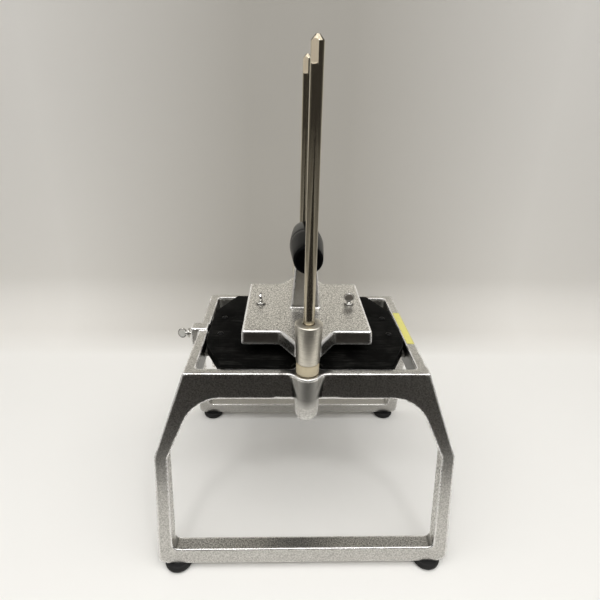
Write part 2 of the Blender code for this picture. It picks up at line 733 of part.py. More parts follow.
def neck_mesh(name):
    """Neck of the T handle, narrowing upwards to the bar."""
    mesh = block(
        name, (-NECK_BASE_HALF_WIDTH, -NECK_HALF_THICKNESS, NECK_ROOT),
        (NECK_BASE_HALF_WIDTH, NECK_HALF_THICKNESS, GRIP_AXIS))
    for point in mesh.vertices:
        if point.co.z > (NECK_ROOT + GRIP_AXIS) / 2:
            point.co.x *= NECK_TOP_HALF_WIDTH / NECK_BASE_HALF_WIDTH
    return mesh


def guide_bore_profile():
    """Stepped bore of a guide boss: a seat for the liner, and a smaller hole above it."""
    seat = BUSHING_RADIUS + GAP
    seat_top = BUSHING_TOP + GAP
    return [
        (0, GUIDE_BOSS_TOP + PAST),
        (GUIDE_BOSS_HOLE, GUIDE_BOSS_TOP + PAST),
        (GUIDE_BOSS_HOLE, seat_top),
        (seat, seat_top),
        (seat, GUIDE_BOSS_BOTTOM - PAST),
        (0, GUIDE_BOSS_BOTTOM - PAST),
    ]


def build_push_head(head):
    """Plate, webs, guide bosses, neck and T bar in one casting."""
    mesh = raised(outline_mesh("push_head", [head_loop()], HEAD_THICKNESS), HEAD_THICKNESS / 2)
    casting = add_part("push_head", mesh, CAST_ALUMINIUM, head)
    chamfer_edges(casting, HEAD_EDGE)
    join(casting, add_tool("neck", neck_mesh("neck"), head))
    bar = cylinder("t_bar", BAR_RADIUS, -BAR_HALF_LENGTH, BAR_HALF_LENGTH)
    join(casting, add_tool("t_bar", bar, head, (0, 0, GRIP_AXIS), (math.pi / 2, 0, 0)))
    for end, sign in ENDS.items():
        place = (0, sign * ROD_HALF_SPACING, 0)
        boss = taper(
            f"{end}_guide_boss", GUIDE_BOSS_BOTTOM_RADIUS, GUIDE_BOSS_TOP_RADIUS, GUIDE_BOSS_BOTTOM,
            GUIDE_BOSS_TOP)
        join(casting, add_tool(f"{end}_guide_boss", boss, head, place))
        bore = profile_mesh(f"{end}_guide_bore", guide_bore_profile(), closed=False)
        cut(casting, turn(add_tool(f"{end}_guide_bore", bore, head, place)))
    recess = block(
        "pusher_recess", (-RECESS_HALF_WIDTH, -RECESS_HALF_DEPTH, -PAST),
        (RECESS_HALF_WIDTH, RECESS_HALF_DEPTH, RECESS_DEPTH))
    cut(casting, add_tool("pusher_recess", recess, head))
    for side, sign in SIDES.items():
        hole = cylinder(f"{side}_head_hole", THUMB_HOLE, 0, HEAD_THICKNESS + PAST, SMALL_ROUND_STEPS)
        place = (sign * THUMB_SCREW_X, THUMB_SCREW_Y, 0)
        cut(casting, add_tool(f"{side}_head_hole", hole, head, place))


def build_guide_bushings(head):
    """Nylon liners pressed into the guide bosses from below."""
    profile = ring_profile(ROD_RADIUS + GAP, BUSHING_RADIUS, BUSHING_BOTTOM, BUSHING_TOP)
    for end, sign in ENDS.items():
        name = f"guide_bushing_{end}"
        mesh = profile_mesh(name, profile, closed=True)
        turn(add_part(name, mesh, NYLON, head, (0, sign * ROD_HALF_SPACING, 0)))


def grip_profile():
    """Half grip: a drafted cup with a rounded rim, closed at its outer end."""
    rim_start = GRIP_HALF_LENGTH - GRIP_RIM
    rim = arc(GRIP_END_RADIUS - GRIP_RIM, rim_start, GRIP_RIM, 90, 0, SHORT_ARC_STEPS)
    bore = BAR_RADIUS + GAP
    bore_end = BAR_HALF_LENGTH + GAP
    return [(0, GRIP_HALF_LENGTH)] + rim + [
        (GRIP_MIDDLE_RADIUS, GAP / 2),
        (bore, GAP / 2),
        (bore, bore_end),
        (0, bore_end),
    ]


def build_grip(head):
    """Two half grips that meet at the middle of the T bar."""
    notch_half_depth = NECK_HALF_THICKNESS + GAP
    for end, sign in ENDS.items():
        name = f"grip_half_{end}"
        mesh = profile_mesh(name, grip_profile(), closed=False)
        lie_down = (-sign * math.pi / 2, 0, 0)
        grip = turn(add_part(name, mesh, GRIP_PLASTIC, head, (0, 0, GRIP_AXIS), lie_down))
        notch = block(
            f"{end}_neck_notch", (-GRIP_NOTCH_HALF_WIDTH, -notch_half_depth, -GRIP_NOTCH_DEPTH),
            (GRIP_NOTCH_HALF_WIDTH, notch_half_depth, 0))
        cut(grip, add_tool(f"{end}_neck_notch", notch, head, (0, 0, GRIP_AXIS)))


def pusher_lines(half):
    """Grid lines across the block: its two edges, and both sides of each finger."""
    lines = [-half]
    for i in range(CELLS):
        centre = CELL_PITCH * (i - (CELLS - 1) / 2)
        lines += [centre - FINGER_WIDTH / 2, centre + FINGER_WIDTH / 2]
    return lines + [half]


def build_pusher_block(head):
    """Block with a field of square fingers that reach through the blade grid."""
    across = pusher_lines(RECESS_HALF_WIDTH - GAP)
    along = pusher_lines(RECESS_HALF_DEPTH - GAP)
    cells = len(across) - 1
    top = RECESS_DEPTH - GAP
    bottom = top - PUSHER_THICKNESS
    shape = bmesh.new()
    bmesh.ops.create_grid(shape, x_segments=cells, y_segments=cells, size=cells / 2)
    fingers = []
    for face in shape.faces:
        middle = face.calc_center_median()
        column = int(middle.x + cells / 2)
        row = int(middle.y + cells / 2)
        if column % 2 == 1 and row % 2 == 1:
            fingers.append(face)
    for point in shape.verts:
        column = round(point.co.x + cells / 2)
        row = round(point.co.y + cells / 2)
        point.co = (across[column], along[row], bottom)
    bmesh.ops.reverse_faces(shape, faces=shape.faces)
    rim = [edge for edge in shape.edges if edge.is_boundary]
    wall = bmesh.ops.extrude_edge_only(shape, edges=rim)["geom"]
    upper = [item for item in wall if isinstance(item, bmesh.types.BMVert)]
    bmesh.ops.translate(shape, vec=(0, 0, PUSHER_THICKNESS), verts=upper)
    bmesh.ops.edgeloop_fill(shape, edges=[edge for edge in shape.edges if edge.is_boundary])
    grown = bmesh.ops.extrude_face_region(shape, geom=fingers)["geom"]
    bmesh.ops.delete(shape, geom=fingers, context="FACES_ONLY")
    tips = [item for item in grown if isinstance(item, bmesh.types.BMVert)]
    bmesh.ops.translate(shape, vec=(0, 0, FINGER_TIP - HEAD_BOTTOM - bottom), verts=tips)
    bmesh.ops.recalc_face_normals(shape, faces=shape.faces)
    pusher = add_part("pusher_block", mesh_from("pusher_block", shape), BLACK_PLASTIC, head)
    for side, sign in SIDES.items():
        hole = cylinder(f"{side}_pusher_hole", THUMB_HOLE, bottom - PAST, top + PAST, SMALL_ROUND_STEPS)
        place = (sign * THUMB_SCREW_X, THUMB_SCREW_Y, 0)
        cut(pusher, add_tool(f"{side}_pusher_hole", hole, head, place))


def add_thumb_screw(name, shank_length, parent, location, rotation):
    """Thumb screw on its own Z axis, with a flat spade to turn it by."""
    profile = [
        (0, SPADE_BOTTOM + PAST),
        (SPADE_NECK_RADIUS, SPADE_BOTTOM + PAST),
        (SPADE_ROOT_RADIUS, COLLAR_HEIGHT),
        (COLLAR_TOP_RADIUS, COLLAR_HEIGHT),
        (COLLAR_RADIUS, COLLAR_EDGE_HEIGHT),
        (COLLAR_RADIUS, GAP),
        (THUMB_SHANK_RADIUS, GAP),
        (THUMB_SHANK_RADIUS, -shank_length),
        (0, -shank_length),
    ]
    mesh = profile_mesh(name, profile, closed=False)
    screw = add_part(name, mesh, PLATED_STEEL, parent, location, rotation)
    turn(screw, SMALL_ROUND_STEPS)
    half_width = SPADE_WIDTH / 2
    half_height = (SPADE_TOP - SPADE_BOTTOM) / 2
    circle = arc(0, 0, 1, 0, 360, OVAL_STEPS)[:-1]
    oval = [(half_width * x, half_height * y) for x, y in circle]
    spade = outline_mesh(f"{name}_spade", [oval], SPADE_THICKNESS)
    spade.transform(Matrix.Rotation(math.pi / 2, 4, "X"))
    raised(spade, SPADE_BOTTOM + half_height)
    join(screw, add_tool(f"{name}_spade", spade, parent, location, rotation))


def build_thumb_screws(root, head):
    """Two screws hold the pusher block, and one locks the blade carrier."""
    turns = {"left": math.pi / 2, "right": 0}
    for side, sign in SIDES.items():
        place = (sign * THUMB_SCREW_X, THUMB_SCREW_Y, HEAD_THICKNESS)
        name = f"pusher_screw_{side}"
        add_thumb_screw(name, THUMB_SHANK_LENGTH, head, place, (0, 0, turns[side]))
    reach = -CARRIER_HALF_WIDTH - GAP - LOCK_SCREW_COLLAR_X
    place = (LOCK_SCREW_COLLAR_X, 0, LOCK_SCREW_HEIGHT)
    add_thumb_screw("carrier_lock_screw", reach, root, place, (0, -math.pi / 2, 0))


def main():
    """Build every piece under two empties: the fixed frame and the sliding head."""
    root = add_empty("fixed_frame", (0, 0, 0))
    head = add_empty("sliding_head", (0, 0, HEAD_BOTTOM))
    build_frame_casting(root)
    build_guide_rods(root)
    build_stop_sleeves(root)
    build_feet(root)
    build_blade_carrier(root)
    build_blade_frame(root)
    build_blades(root)
    build_carrier_screws(root)
    build_push_head(head)
    build_guide_bushings(head)
    build_grip(head)
    build_pusher_block(head)
    build_thumb_screws(root, head)


main()
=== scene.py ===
"""Looks of the hand-operated vegetable dicer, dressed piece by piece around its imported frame."""

import logging
import math
from collections.abc import Callable, Sequence
from dataclasses import dataclass, replace
from enum import Enum

import bmesh
import bpy
import numpy as np
from mathutils import Matrix, Vector


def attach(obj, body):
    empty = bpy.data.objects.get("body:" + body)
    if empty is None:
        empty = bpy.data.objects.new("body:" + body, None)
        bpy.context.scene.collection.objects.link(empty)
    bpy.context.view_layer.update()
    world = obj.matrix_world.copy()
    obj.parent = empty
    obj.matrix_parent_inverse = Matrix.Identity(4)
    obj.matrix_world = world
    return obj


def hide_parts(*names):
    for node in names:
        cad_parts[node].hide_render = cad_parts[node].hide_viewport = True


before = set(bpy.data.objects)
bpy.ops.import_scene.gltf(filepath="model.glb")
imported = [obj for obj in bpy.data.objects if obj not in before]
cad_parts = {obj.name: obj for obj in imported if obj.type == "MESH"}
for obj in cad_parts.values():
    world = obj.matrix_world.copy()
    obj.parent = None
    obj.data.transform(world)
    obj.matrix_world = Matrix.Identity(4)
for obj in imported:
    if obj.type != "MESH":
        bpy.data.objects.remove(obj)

LOG = logging.getLogger("vegetable_dicer")

Pair = tuple[float, float]
Colour = tuple[float, float, float]
Point = tuple[float, float, float]
Profile = Sequence[Pair]
Rule = Callable[[Vector, Vector], bool]
Piece = bpy.types.Object
Material = bpy.types.Material
Node = bpy.types.Node
Socket = bpy.types.NodeSocket
Tree = bpy.types.NodeTree


class Body(Enum):
    """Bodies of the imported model."""

    FRAME = "frame"
    HEAD = "push_head"
    LEFT_SCREW = "pusher_screw_left"
    RIGHT_SCREW = "pusher_screw_right"
    LOCK_SCREW = "carrier_lock_screw"


class Slot(Enum):
    """Material slots of the record."""

    ALUMINIUM = "cast_aluminium"
    ROD = "polished_rod"
    PLASTIC = "black_plastic"
    GRIP = "grip_plastic"
    NYLON = "nylon"
    RUBBER = "rubber"
    PLATED = "plated_steel"


class Opposite(Enum):
    """One of two opposite places, with its direction along an axis."""

    @property
    def word(self) -> str:
        """Name of the place in node names."""
        return self.name.lower()


class End(Opposite):
    """Front or rear of the dicer."""

    FRONT = -1
    REAR = 1


class Side(Opposite):
    """Left or right of the dicer, seen from the front."""

    LEFT = -1
    RIGHT = 1


ENDS = {end.word: Vector((0, end.value, 0)) for end in End}
CORNERS = {f"{end.word}_{side.word}": Vector((side.value, end.value, 0)) for end in End for side in Side}


class Bench:
    """Hand tools for one piece at a time, each a short run of Blender's own operators."""

    WELD = 0.00001
    CLEAR = 0.01
    FACING = 0.9
    FLAT_ANGLE = 0.5
    FINE_EDGE = 0.0002
    BLEND_ROUNDS = 30

    @staticmethod
    def pick_up(piece: Piece) -> None:
        """Make a piece the only selected object, and the active one."""
        bpy.ops.object.select_all(action="DESELECT")
        piece.select_set(True)
        bpy.context.view_layer.objects.active = piece

    @staticmethod
    def edit(kind: str = "FACE") -> None:
        """Enter edit mode on the active piece, selecting by VERT, EDGE or FACE."""
        bpy.ops.object.mode_set(mode="EDIT")
        bpy.ops.mesh.select_mode(type=kind)

    @staticmethod
    def named(name: str) -> Piece:
        """Name the primitive that was just added, and its mesh."""
        piece = bpy.context.object
        piece.name = name
        piece.data.name = name
        return piece

    @staticmethod
    def block(name: str, low: Point, high: Point) -> Piece:
        """Add a box between two corners.

        Args:
            name: Name of the new piece.
            low: Lowest corner.
            high: Highest corner.

        Returns:
            The new piece, with its place in its mesh.
        """
        bpy.ops.object.select_all(action="DESELECT")
        middle = (Vector(low) + Vector(high)) / 2
        bpy.ops.mesh.primitive_cube_add(size=1.0, location=middle)
        piece = Bench.named(name)
        piece.scale = Vector(high) - Vector(low)
        Bench.settle(piece)
        return piece

    @staticmethod
    def drum(name: str, radius: float, low: float, high: float, steps: int = 64) -> Piece:
        """Add an upright cylinder on the Z axis.

        Args:
            name: Name of the new piece.
            radius: Radius of the cylinder.
            low: Height of its lower end.
            high: Height of its upper end.
            steps: Number of facets.

        Returns:
            The new piece, with its place in its mesh.
        """
        bpy.ops.object.select_all(action="DESELECT")
        bpy.ops.mesh.primitive_cylinder_add(
            vertices=steps, radius=radius, depth=high - low, location=(0, 0, (low + high) / 2))
        piece = Bench.named(name)
        Bench.settle(piece)
        return piece

    @staticmethod
    def lathe(name: str, profile: Profile, steps: int = 72) -> Piece:
        """Turn a profile about the Z axis.

        Args:
            name: Name of the new piece.
            profile: Radius and height of each point of the profile, in order.
            steps: Number of facets.

        Returns:
            The new piece, closed and with its faces pointing out.
        """
        bpy.ops.object.select_all(action="DESELECT")
        bpy.ops.mesh.primitive_plane_add(size=0.01)
        piece = Bench.named(name)
        Bench.edit("VERT")
        bpy.ops.mesh.select_all(action="SELECT")
        bpy.ops.mesh.merge(type="CENTER")
        bpy.ops.transform.translate(value=(profile[0][0], 0, profile[0][1]))
        for (radius, height), (next_radius, next_height) in zip(profile, profile[1:]):
            bpy.ops.mesh.extrude_vertices_move(
                TRANSFORM_OT_translate={"value": (next_radius - radius, 0, next_height - height)})
        bpy.ops.mesh.select_all(action="SELECT")
        bpy.ops.mesh.spin(steps=steps, angle=math.tau, center=(0, 0, 0), axis=(0, 0, 1))
        bpy.ops.mesh.select_all(action="SELECT")
        bpy.ops.mesh.remove_doubles(threshold=Bench.WELD)
        bpy.ops.mesh.normals_make_consistent(inside=False)
        bpy.ops.object.mode_set(mode="OBJECT")
        return piece

    @staticmethod
    def copy_node(node: str, name: str) -> Piece:
        """Copy a CAD node into a new piece, with its loose triangles merged into flat faces.

        Args:
            node: Name of the CAD node.
            name: Name of the new piece.

        Returns:
            The new piece.
        """
        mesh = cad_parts[node].data.copy()
        mesh.name = name
        mesh.materials.clear()
        piece = bpy.data.objects.new(name, mesh)
        bpy.context.scene.collection.objects.link(piece)
        Bench.pick_up(piece)
        bpy.ops.mesh.customdata_custom_splitnormals_clear()
        Bench.edit()
        bpy.ops.mesh.select_all(action="SELECT")
        bpy.ops.mesh.remove_doubles(threshold=Bench.WELD)
        bpy.ops.mesh.tris_convert_to_quads(face_threshold=math.radians(Bench.FLAT_ANGLE))
        bpy.ops.object.mode_set(mode="OBJECT")
        return piece

    @staticmethod
    def duplicate(piece: Piece, name: str, change: Matrix) -> Piece:
        """Copy a piece with a mesh of its own, moved by a matrix.

        Args:
            piece: The piece to copy.
            name: Name of the copy.
            change: Where the copy goes from the piece's place.

        Returns:
            The copy.
        """
        copy = bpy.data.objects.new(name, piece.data.copy())
        copy.data.name = name
        copy.matrix_world = change
        bpy.context.scene.collection.objects.link(copy)
        Bench.settle(copy)
        return copy

    @staticmethod
    def settle(piece: Piece) -> None:
        """Put a piece's place, turn and scale into its mesh."""
        Bench.pick_up(piece)
        bpy.ops.object.transform_apply(location=True, rotation=True, scale=True)

    @staticmethod
    def move(piece: Piece, change: Matrix) -> None:
        """Move a piece, with its place in its mesh."""
        piece.matrix_world = change
        Bench.settle(piece)

    @staticmethod
    def select(piece: Piece, rule: Rule) -> None:
        """Select the faces of a piece in edit mode whose centre and normal pass a rule."""
        shape = bmesh.from_edit_mesh(piece.data)
        for face in shape.faces:
            face.select_set(False)
        shape.select_flush(False)
        for face in shape.faces:
            if rule(face.calc_center_median(), face.normal):
                face.select_set(True)
        bmesh.update_edit_mesh(piece.data)

    @staticmethod
    def select_edges(piece: Piece, rule: Rule) -> None:
        """Select the edges of a piece in edit mode whose two ends pass a rule."""
        bpy.ops.mesh.select_mode(type="EDGE")
        bpy.ops.mesh.select_all(action="DESELECT")
        shape = bmesh.from_edit_mesh(piece.data)
        for edge in shape.edges:
            first, second = (point.co for point in edge.verts)
            edge.select_set(rule(first, second))
        bmesh.update_edit_mesh(piece.data)

    @staticmethod
    def faces_up(_: Vector, normal: Vector) -> bool:
        """Whether a face points up, as a rule for selecting."""
        return normal.z > Bench.FACING

    @staticmethod
    def draw_out(by: Point) -> None:
        """Extrude what is selected in edit mode by a vector."""
        bpy.ops.mesh.extrude_region_move(TRANSFORM_OT_translate={"value": by})

    @staticmethod
    def modify(piece: Piece, kind: str, **settings: object) -> None:
        """Add a modifier with these settings, and apply it."""
        Bench.pick_up(piece)
        bpy.ops.object.modifier_add(type=kind)
        step = piece.modifiers[-1]
        for name, value in settings.items():
            setattr(step, name, value)
        bpy.ops.object.modifier_apply(modifier=step.name)

    @staticmethod
    def combine(piece: Piece, tool: Piece, operation: str) -> None:
        """Cut a tool out of a piece or join it on, and take the tool away."""
        Bench.modify(piece, "BOOLEAN", operation=operation, solver="EXACT", object=tool)
        Bench.discard(tool)

    @staticmethod
    def round_edges(piece: Piece, width: float, segments: int = 3, angle: float = 30) -> None:
        """Round every edge of a piece that is sharper than an angle in degrees."""
        Bench.modify(
            piece, "BEVEL", width=width, segments=segments, limit_method="ANGLE",
            angle_limit=math.radians(angle), harden_normals=False, miter_outer="MITER_ARC")
        Bench.shade(piece, angle)

    @staticmethod
    def shade(piece: Piece, angle: float = 30) -> None:
        """Shade a piece smooth, except over edges sharper than an angle in degrees."""
        Bench.pick_up(piece)
        bpy.ops.object.shade_smooth_by_angle(angle=math.radians(angle))

    @staticmethod
    def discard(piece: Piece) -> None:
        """Take away a piece that was only made to be copied, or to cut with."""
        bpy.data.objects.remove(piece, do_unlink=True)

    @staticmethod
    def sink_cross(screw: Piece, half_length: float, half_width: float, ends: Pair,
                   turn: float = 0.0) -> None:
        """Cut a cross into the head of a screw on the Z axis, and shade the screw.

        Args:
            screw: The screw.
            half_length: Half the length of the cross.
            half_width: Half the width of its arms.
            ends: Lowest and highest level of the tool that cuts it.
            turn: Turn of the cross in degrees.
        """
        low, high = ends
        for quarter in (0.0, 90.0):
            bit = Bench.block("bit", (-half_length, -half_width, low), (half_length, half_width, high))
            Bench.move(bit, Matrix.Rotation(math.radians(turn + quarter), 4, "Z"))
            Bench.combine(screw, bit, "DIFFERENCE")
        Bench.shade(screw)

    @staticmethod
    def soften(piece: Piece, voxel: float, rounds: int, keep: float,
               blended: Callable[[Vector], bool] | None = None) -> None:
        """Round a casting all over, inside corners too.

        Args:
            piece: The casting.
            voxel: Size of the grid that its skin is drawn on.
            rounds: How often the skin is smoothed.
            keep: Share of the faces to keep.
            blended: Tells from its place whether a point is smoothed much more.
        """
        Bench.modify(piece, "REMESH", mode="VOXEL", voxel_size=voxel, use_smooth_shade=True)
        Bench.modify(piece, "SMOOTH", factor=0.5, iterations=rounds)
        if blended:
            group = piece.vertex_groups.new(name="blended")
            inside = [point.index for point in piece.data.vertices if blended(point.co)]
            group.add(inside, 1.0, "REPLACE")
            Bench.modify(
                piece, "SMOOTH", factor=0.5, iterations=Bench.BLEND_ROUNDS, vertex_group=group.name)
        Bench.modify(piece, "DECIMATE", ratio=keep)
        Bench.pick_up(piece)
        bpy.ops.object.shade_smooth()


class RawAndShadeMask:
    """Marks on the points of a mesh their own finish and painted shade: milled rod flats, thumb screw dishes
    with a painted dark reflection on the pusher screws, and painted shade on the castings.
    """

    NAME = "raw"

    @classmethod
    def paint(cls, piece: Piece, rule: Callable[[Vector, Vector], float]) -> None:
        """Store on each point how much of the marked finish and painted shade it gets, from its place and
        normal.
        """
        layer = piece.data.attributes.new(cls.NAME, "FLOAT", "POINT")
        layer.data.foreach_set("value", [rule(point.co, point.normal) for point in piece.data.vertices])


class EdgeMask:
    """Marks the outer edges of a mesh on its points, for wear, and on castings also for painted highlight."""

    NAME = "edge"
    FULL_CURVATURE = 270.0
    SPREAD_ROUNDS = 2
    BROAD_FACE = 0.0002
    LONG_EDGE = 0.004
    SHORTEST_SQUARED = 1e-12

    @classmethod
    def paint(cls, piece: Piece) -> None:
        """Store how strongly each point of a piece lies on an outer edge, from 0 to 1."""
        mesh = piece.data
        count = len(mesh.vertices)
        points = np.zeros(count * 3, np.float32)
        normals = np.zeros(count * 3, np.float32)
        ends = np.zeros(len(mesh.edges) * 2, np.int32)
        mesh.vertices.foreach_get("co", points)
        mesh.vertices.foreach_get("normal", normals)
        mesh.edges.foreach_get("vertices", ends)
        points = points.reshape(-1, 3)
        normals = normals.reshape(-1, 3)
        first, second = ends.reshape(-1, 2).T
        along = points[second] - points[first]
        length_squared = np.maximum((along ** 2).sum(1), cls.SHORTEST_SQUARED)
        bend_first = -(normals[first] * along).sum(1) / length_squared
        bend_second = (normals[second] * along).sum(1) / length_squared
        links = np.bincount(first, minlength=count) + np.bincount(second, minlength=count)
        links = np.maximum(links, 1)
        curvature = np.bincount(first, bend_first, count) + np.bincount(second, bend_second, count)
        mask = np.clip(2 * curvature / links / cls.FULL_CURVATURE, 0, 1)
        for _ in range(cls.SPREAD_ROUNDS):
            near = np.bincount(first, mask[second], count) + np.bincount(second, mask[first], count)
            mask = (mask + near / links) / 2
        for face in mesh.polygons:
            if face.area > cls.BROAD_FACE:
                mask[list(face.vertices)] = 0
        stretched = length_squared > cls.LONG_EDGE ** 2
        mask[first[stretched]] = 0
        mask[second[stretched]] = 0
        layer = mesh.attributes.new(cls.NAME, "FLOAT", "POINT")
        layer.data.foreach_set("value", mask.astype(np.float32))


class Graph:
    """A node tree that is wired by short calls."""

    def __init__(self, tree: Tree) -> None:
        """Take the tree to wire."""
        self.tree = tree

    def add(self, kind: str, **settings: object) -> Node:
        """Add a node and set its options."""
        node = self.tree.nodes.new(kind)
        for name, value in settings.items():
            setattr(node, name, value)
        return node

    def feed(self, socket: Socket, source: object) -> None:
        """Wire a source into a socket, or set the socket's own value."""
        if isinstance(source, Socket):
            self.tree.links.new(source, socket)
        else:
            socket.default_value = source

    def feed_all(self, node: Node, sources: dict[str | int, object]) -> None:
        """Feed several inputs of a node, by their names or numbers."""
        for name, source in sources.items():
            self.feed(node.inputs[name], source)

    def place(self) -> Socket:
        """Object coordinates."""
        return self.add("ShaderNodeTexCoord").outputs["Object"]

    def stretched(self, vector: object, scale: object) -> Socket:
        """Coordinates scaled along each axis."""
        node = self.add("ShaderNodeVectorMath", operation="MULTIPLY")
        self.feed_all(node, {0: vector, 1: scale})
        return node.outputs["Vector"]

    def noise(self, vector: object, scale: object, detail: float = 3, rough: float = 0.55) -> Socket:
        """Noise between 0 and 1.

        Args:
            vector: Coordinates to read it at.
            scale: Cells for each metre.
            detail: Finer layers on top.
            rough: Strength of the finer layers.

        Returns:
            The value socket.
        """
        node = self.add("ShaderNodeTexNoise")
        self.feed_all(node, {"Vector": vector, "Scale": scale, "Detail": detail, "Roughness": rough})
        return node.outputs[0]

    def span(self, value: object, ends: Pair = (0.0, 1.0), to_low: object = 0.0,
             to_high: object = 1.0) -> Socket:
        """Map a range onto another, held at both ends.

        Args:
            value: The value to map.
            ends: Values that give to_low and to_high.
            to_low: Result at the first end.
            to_high: Result at the second end.

        Returns:
            The mapped value.
        """
        node = self.add("ShaderNodeMapRange")
        low, high = ends
        self.feed_all(node, {
            "Value": value, "From Min": low, "From Max": high, "To Min": to_low, "To Max": to_high})
        return node.outputs["Result"]

    def maths(self, operation: str, first: object, second: object) -> Socket:
        """One step of arithmetic on two values, held between 0 and 1."""
        node = self.add("ShaderNodeMath", operation=operation, use_clamp=True)
        self.feed_all(node, {0: first, 1: second})
        return node.outputs["Value"]

    def blend(self, factor: object, first: object, second: object) -> Socket:
        """Mix two colours.

        Args:
            factor: Share of the second colour.
            first: Colour at 0.
            second: Colour at 1.

        Returns:
            The mixed colour.
        """
        node = self.add("ShaderNodeMix", data_type="RGBA")
        self.feed_all(node, {0: factor, 6: opaque(first), 7: opaque(second)})
        return node.outputs[2]

    def group(self, tree: Tree, **inputs: object) -> Node:
        """Place a shared effect, with underscores for the spaces of its input names."""
        node = self.add("ShaderNodeGroup", node_tree=tree)
        for name, value in inputs.items():
            self.feed(node.inputs[name.replace("_", " ").capitalize()], value)
        return node

    def bump(self, height: object, distance: float) -> Socket:
        """Normal of a surface raised by a height."""
        node = self.add("ShaderNodeBump")
        self.feed_all(node, {"Strength": 1.0, "Distance": distance, "Height": height})
        return node.outputs["Normal"]


def opaque(colour: object) -> object:
    """Give a plain colour its alpha, and pass a socket on as it is."""
    return (*colour, 1.0) if isinstance(colour, tuple) else colour


class Effects:
    """Shared effects as node groups, each built once."""

    FINE_SHARE = 0.65
    SPECKLE = (0.36, 0.62)
    CLOUDS = (0.36, 0.66)
    WEAR_NOISE = (0.3, 0.7)
    WEAR_STRENGTH = (0.8, 1.3)
    WORN = (0.12, 0.6)
    ACROSS = ["Across x", "Across y", "Across z"]
    LINES = (0.4, 0.68)
    SMUDGE = (0.42, 0.72)
    SPECKS = (0.7, 0.78)

    def __init__(self) -> None:
        """Build every group."""
        self.grain = self.build_grain()
        self.wear = self.build_wear()
        self.streaks = self.build_streaks()
        self.dust = self.build_dust()

    @staticmethod
    def open_group(name: str, inputs: list[str], outputs: list[str]) -> tuple[Graph, object, object]:
        """Start a group of plain numbers.

        Args:
            name: Name of the group.
            inputs: Names of its inputs.
            outputs: Names of its outputs.

        Returns:
            The graph, the sockets of its inputs and the sockets of its outputs.
        """
        tree = bpy.data.node_groups.new(name, "ShaderNodeTree")
        for direction, sockets in (("INPUT", inputs), ("OUTPUT", outputs)):
            for socket in sockets:
                tree.interface.new_socket(name=socket, in_out=direction, socket_type="NodeSocketFloat")
        graph = Graph(tree)
        return graph, graph.add("NodeGroupInput").outputs, graph.add("NodeGroupOutput").inputs

    def build_grain(self) -> Tree:
        """Skin of a sand casting: fine bumps, dark and bright speckle and broad cloudy patches."""
        graph, given, result = self.open_group(
            "casting_grain", ["Fine scale", "Broad scale"], ["Height", "Speckle", "Clouds"])
        place = graph.place()
        fine = graph.noise(place, given["Fine scale"], detail=2.5, rough=0.6)
        broad = graph.noise(place, given["Broad scale"], detail=3)
        fine_part = graph.maths("MULTIPLY", fine, self.FINE_SHARE)
        broad_part = graph.maths("MULTIPLY", broad, 1 - self.FINE_SHARE)
        graph.feed(result["Height"], graph.maths("ADD", fine_part, broad_part))
        graph.feed(result["Speckle"], graph.span(fine, self.SPECKLE))
        graph.feed(result["Clouds"], graph.span(broad, self.CLOUDS))
        return graph.tree

    def build_wear(self) -> Tree:
        """Mask along outer edges, broken up by noise: wear, and on castings also painted highlight."""
        graph, given, result = self.open_group("edge_wear", ["Edge", "Scale"], ["Mask"])
        uneven = graph.noise(graph.place(), given["Scale"], detail=2)
        strength = graph.span(uneven, self.WEAR_NOISE, *self.WEAR_STRENGTH)
        worn = graph.maths("MULTIPLY", given["Edge"], strength)
        graph.feed(result["Mask"], graph.span(worn, self.WORN))
        return graph.tree

    def build_streaks(self) -> Tree:
        """Fine lines along one axis, as polishing or grinding leaves them."""
        graph, given, result = self.open_group("fine_lines", self.ACROSS, ["Lines", "Height"])
        scale = graph.add("ShaderNodeCombineXYZ")
        for socket, name in zip(scale.inputs, self.ACROSS):
            graph.feed(socket, given[name])
        place = graph.stretched(graph.place(), scale.outputs["Vector"])
        lines = graph.noise(place, 1.0, detail=3, rough=0.65)
        graph.feed(result["Lines"], graph.span(lines, self.LINES))
        graph.feed(result["Height"], lines)
        return graph.tree

    def build_dust(self) -> Tree:
        """Cloudy handling marks and sparse pale specks."""
        graph, given, result = self.open_group("handling", ["Scale", "Speck scale"], ["Smudge", "Specks"])
        place = graph.place()
        smudge = graph.noise(place, given["Scale"], detail=4, rough=0.6)
        specks = graph.noise(place, given["Speck scale"], detail=1)
        graph.feed(result["Smudge"], graph.span(smudge, self.SMUDGE))
        graph.feed(result["Specks"], graph.span(specks, self.SPECKS))
        return graph.tree


@dataclass(frozen=True)
class Finish:
    """A surface finish that becomes one node material."""

    name: str

    def start(self) -> tuple[Material, Graph, Node]:
        """Make the material with its shader.

        Returns:
            The material, its graph and its shader node.
        """
        material = bpy.data.materials.new(self.name)
        material.use_nodes = True
        graph = Graph(material.node_tree)
        return material, graph, material.node_tree.nodes["Principled BSDF"]

    @staticmethod
    def mask(graph: Graph, name: str) -> Socket:
        """Mask that is stored on the points of the mesh."""
        return graph.add("ShaderNodeAttribute", attribute_name=name).outputs["Fac"]

    def wear(self, graph: Graph, effects: Effects, scale: float) -> Socket:
        """Mask along the edges that are marked on the mesh: wear, and on castings also painted highlight."""
        edge = self.mask(graph, EdgeMask.NAME)
        return graph.group(effects.wear, edge=edge, scale=scale).outputs["Mask"]


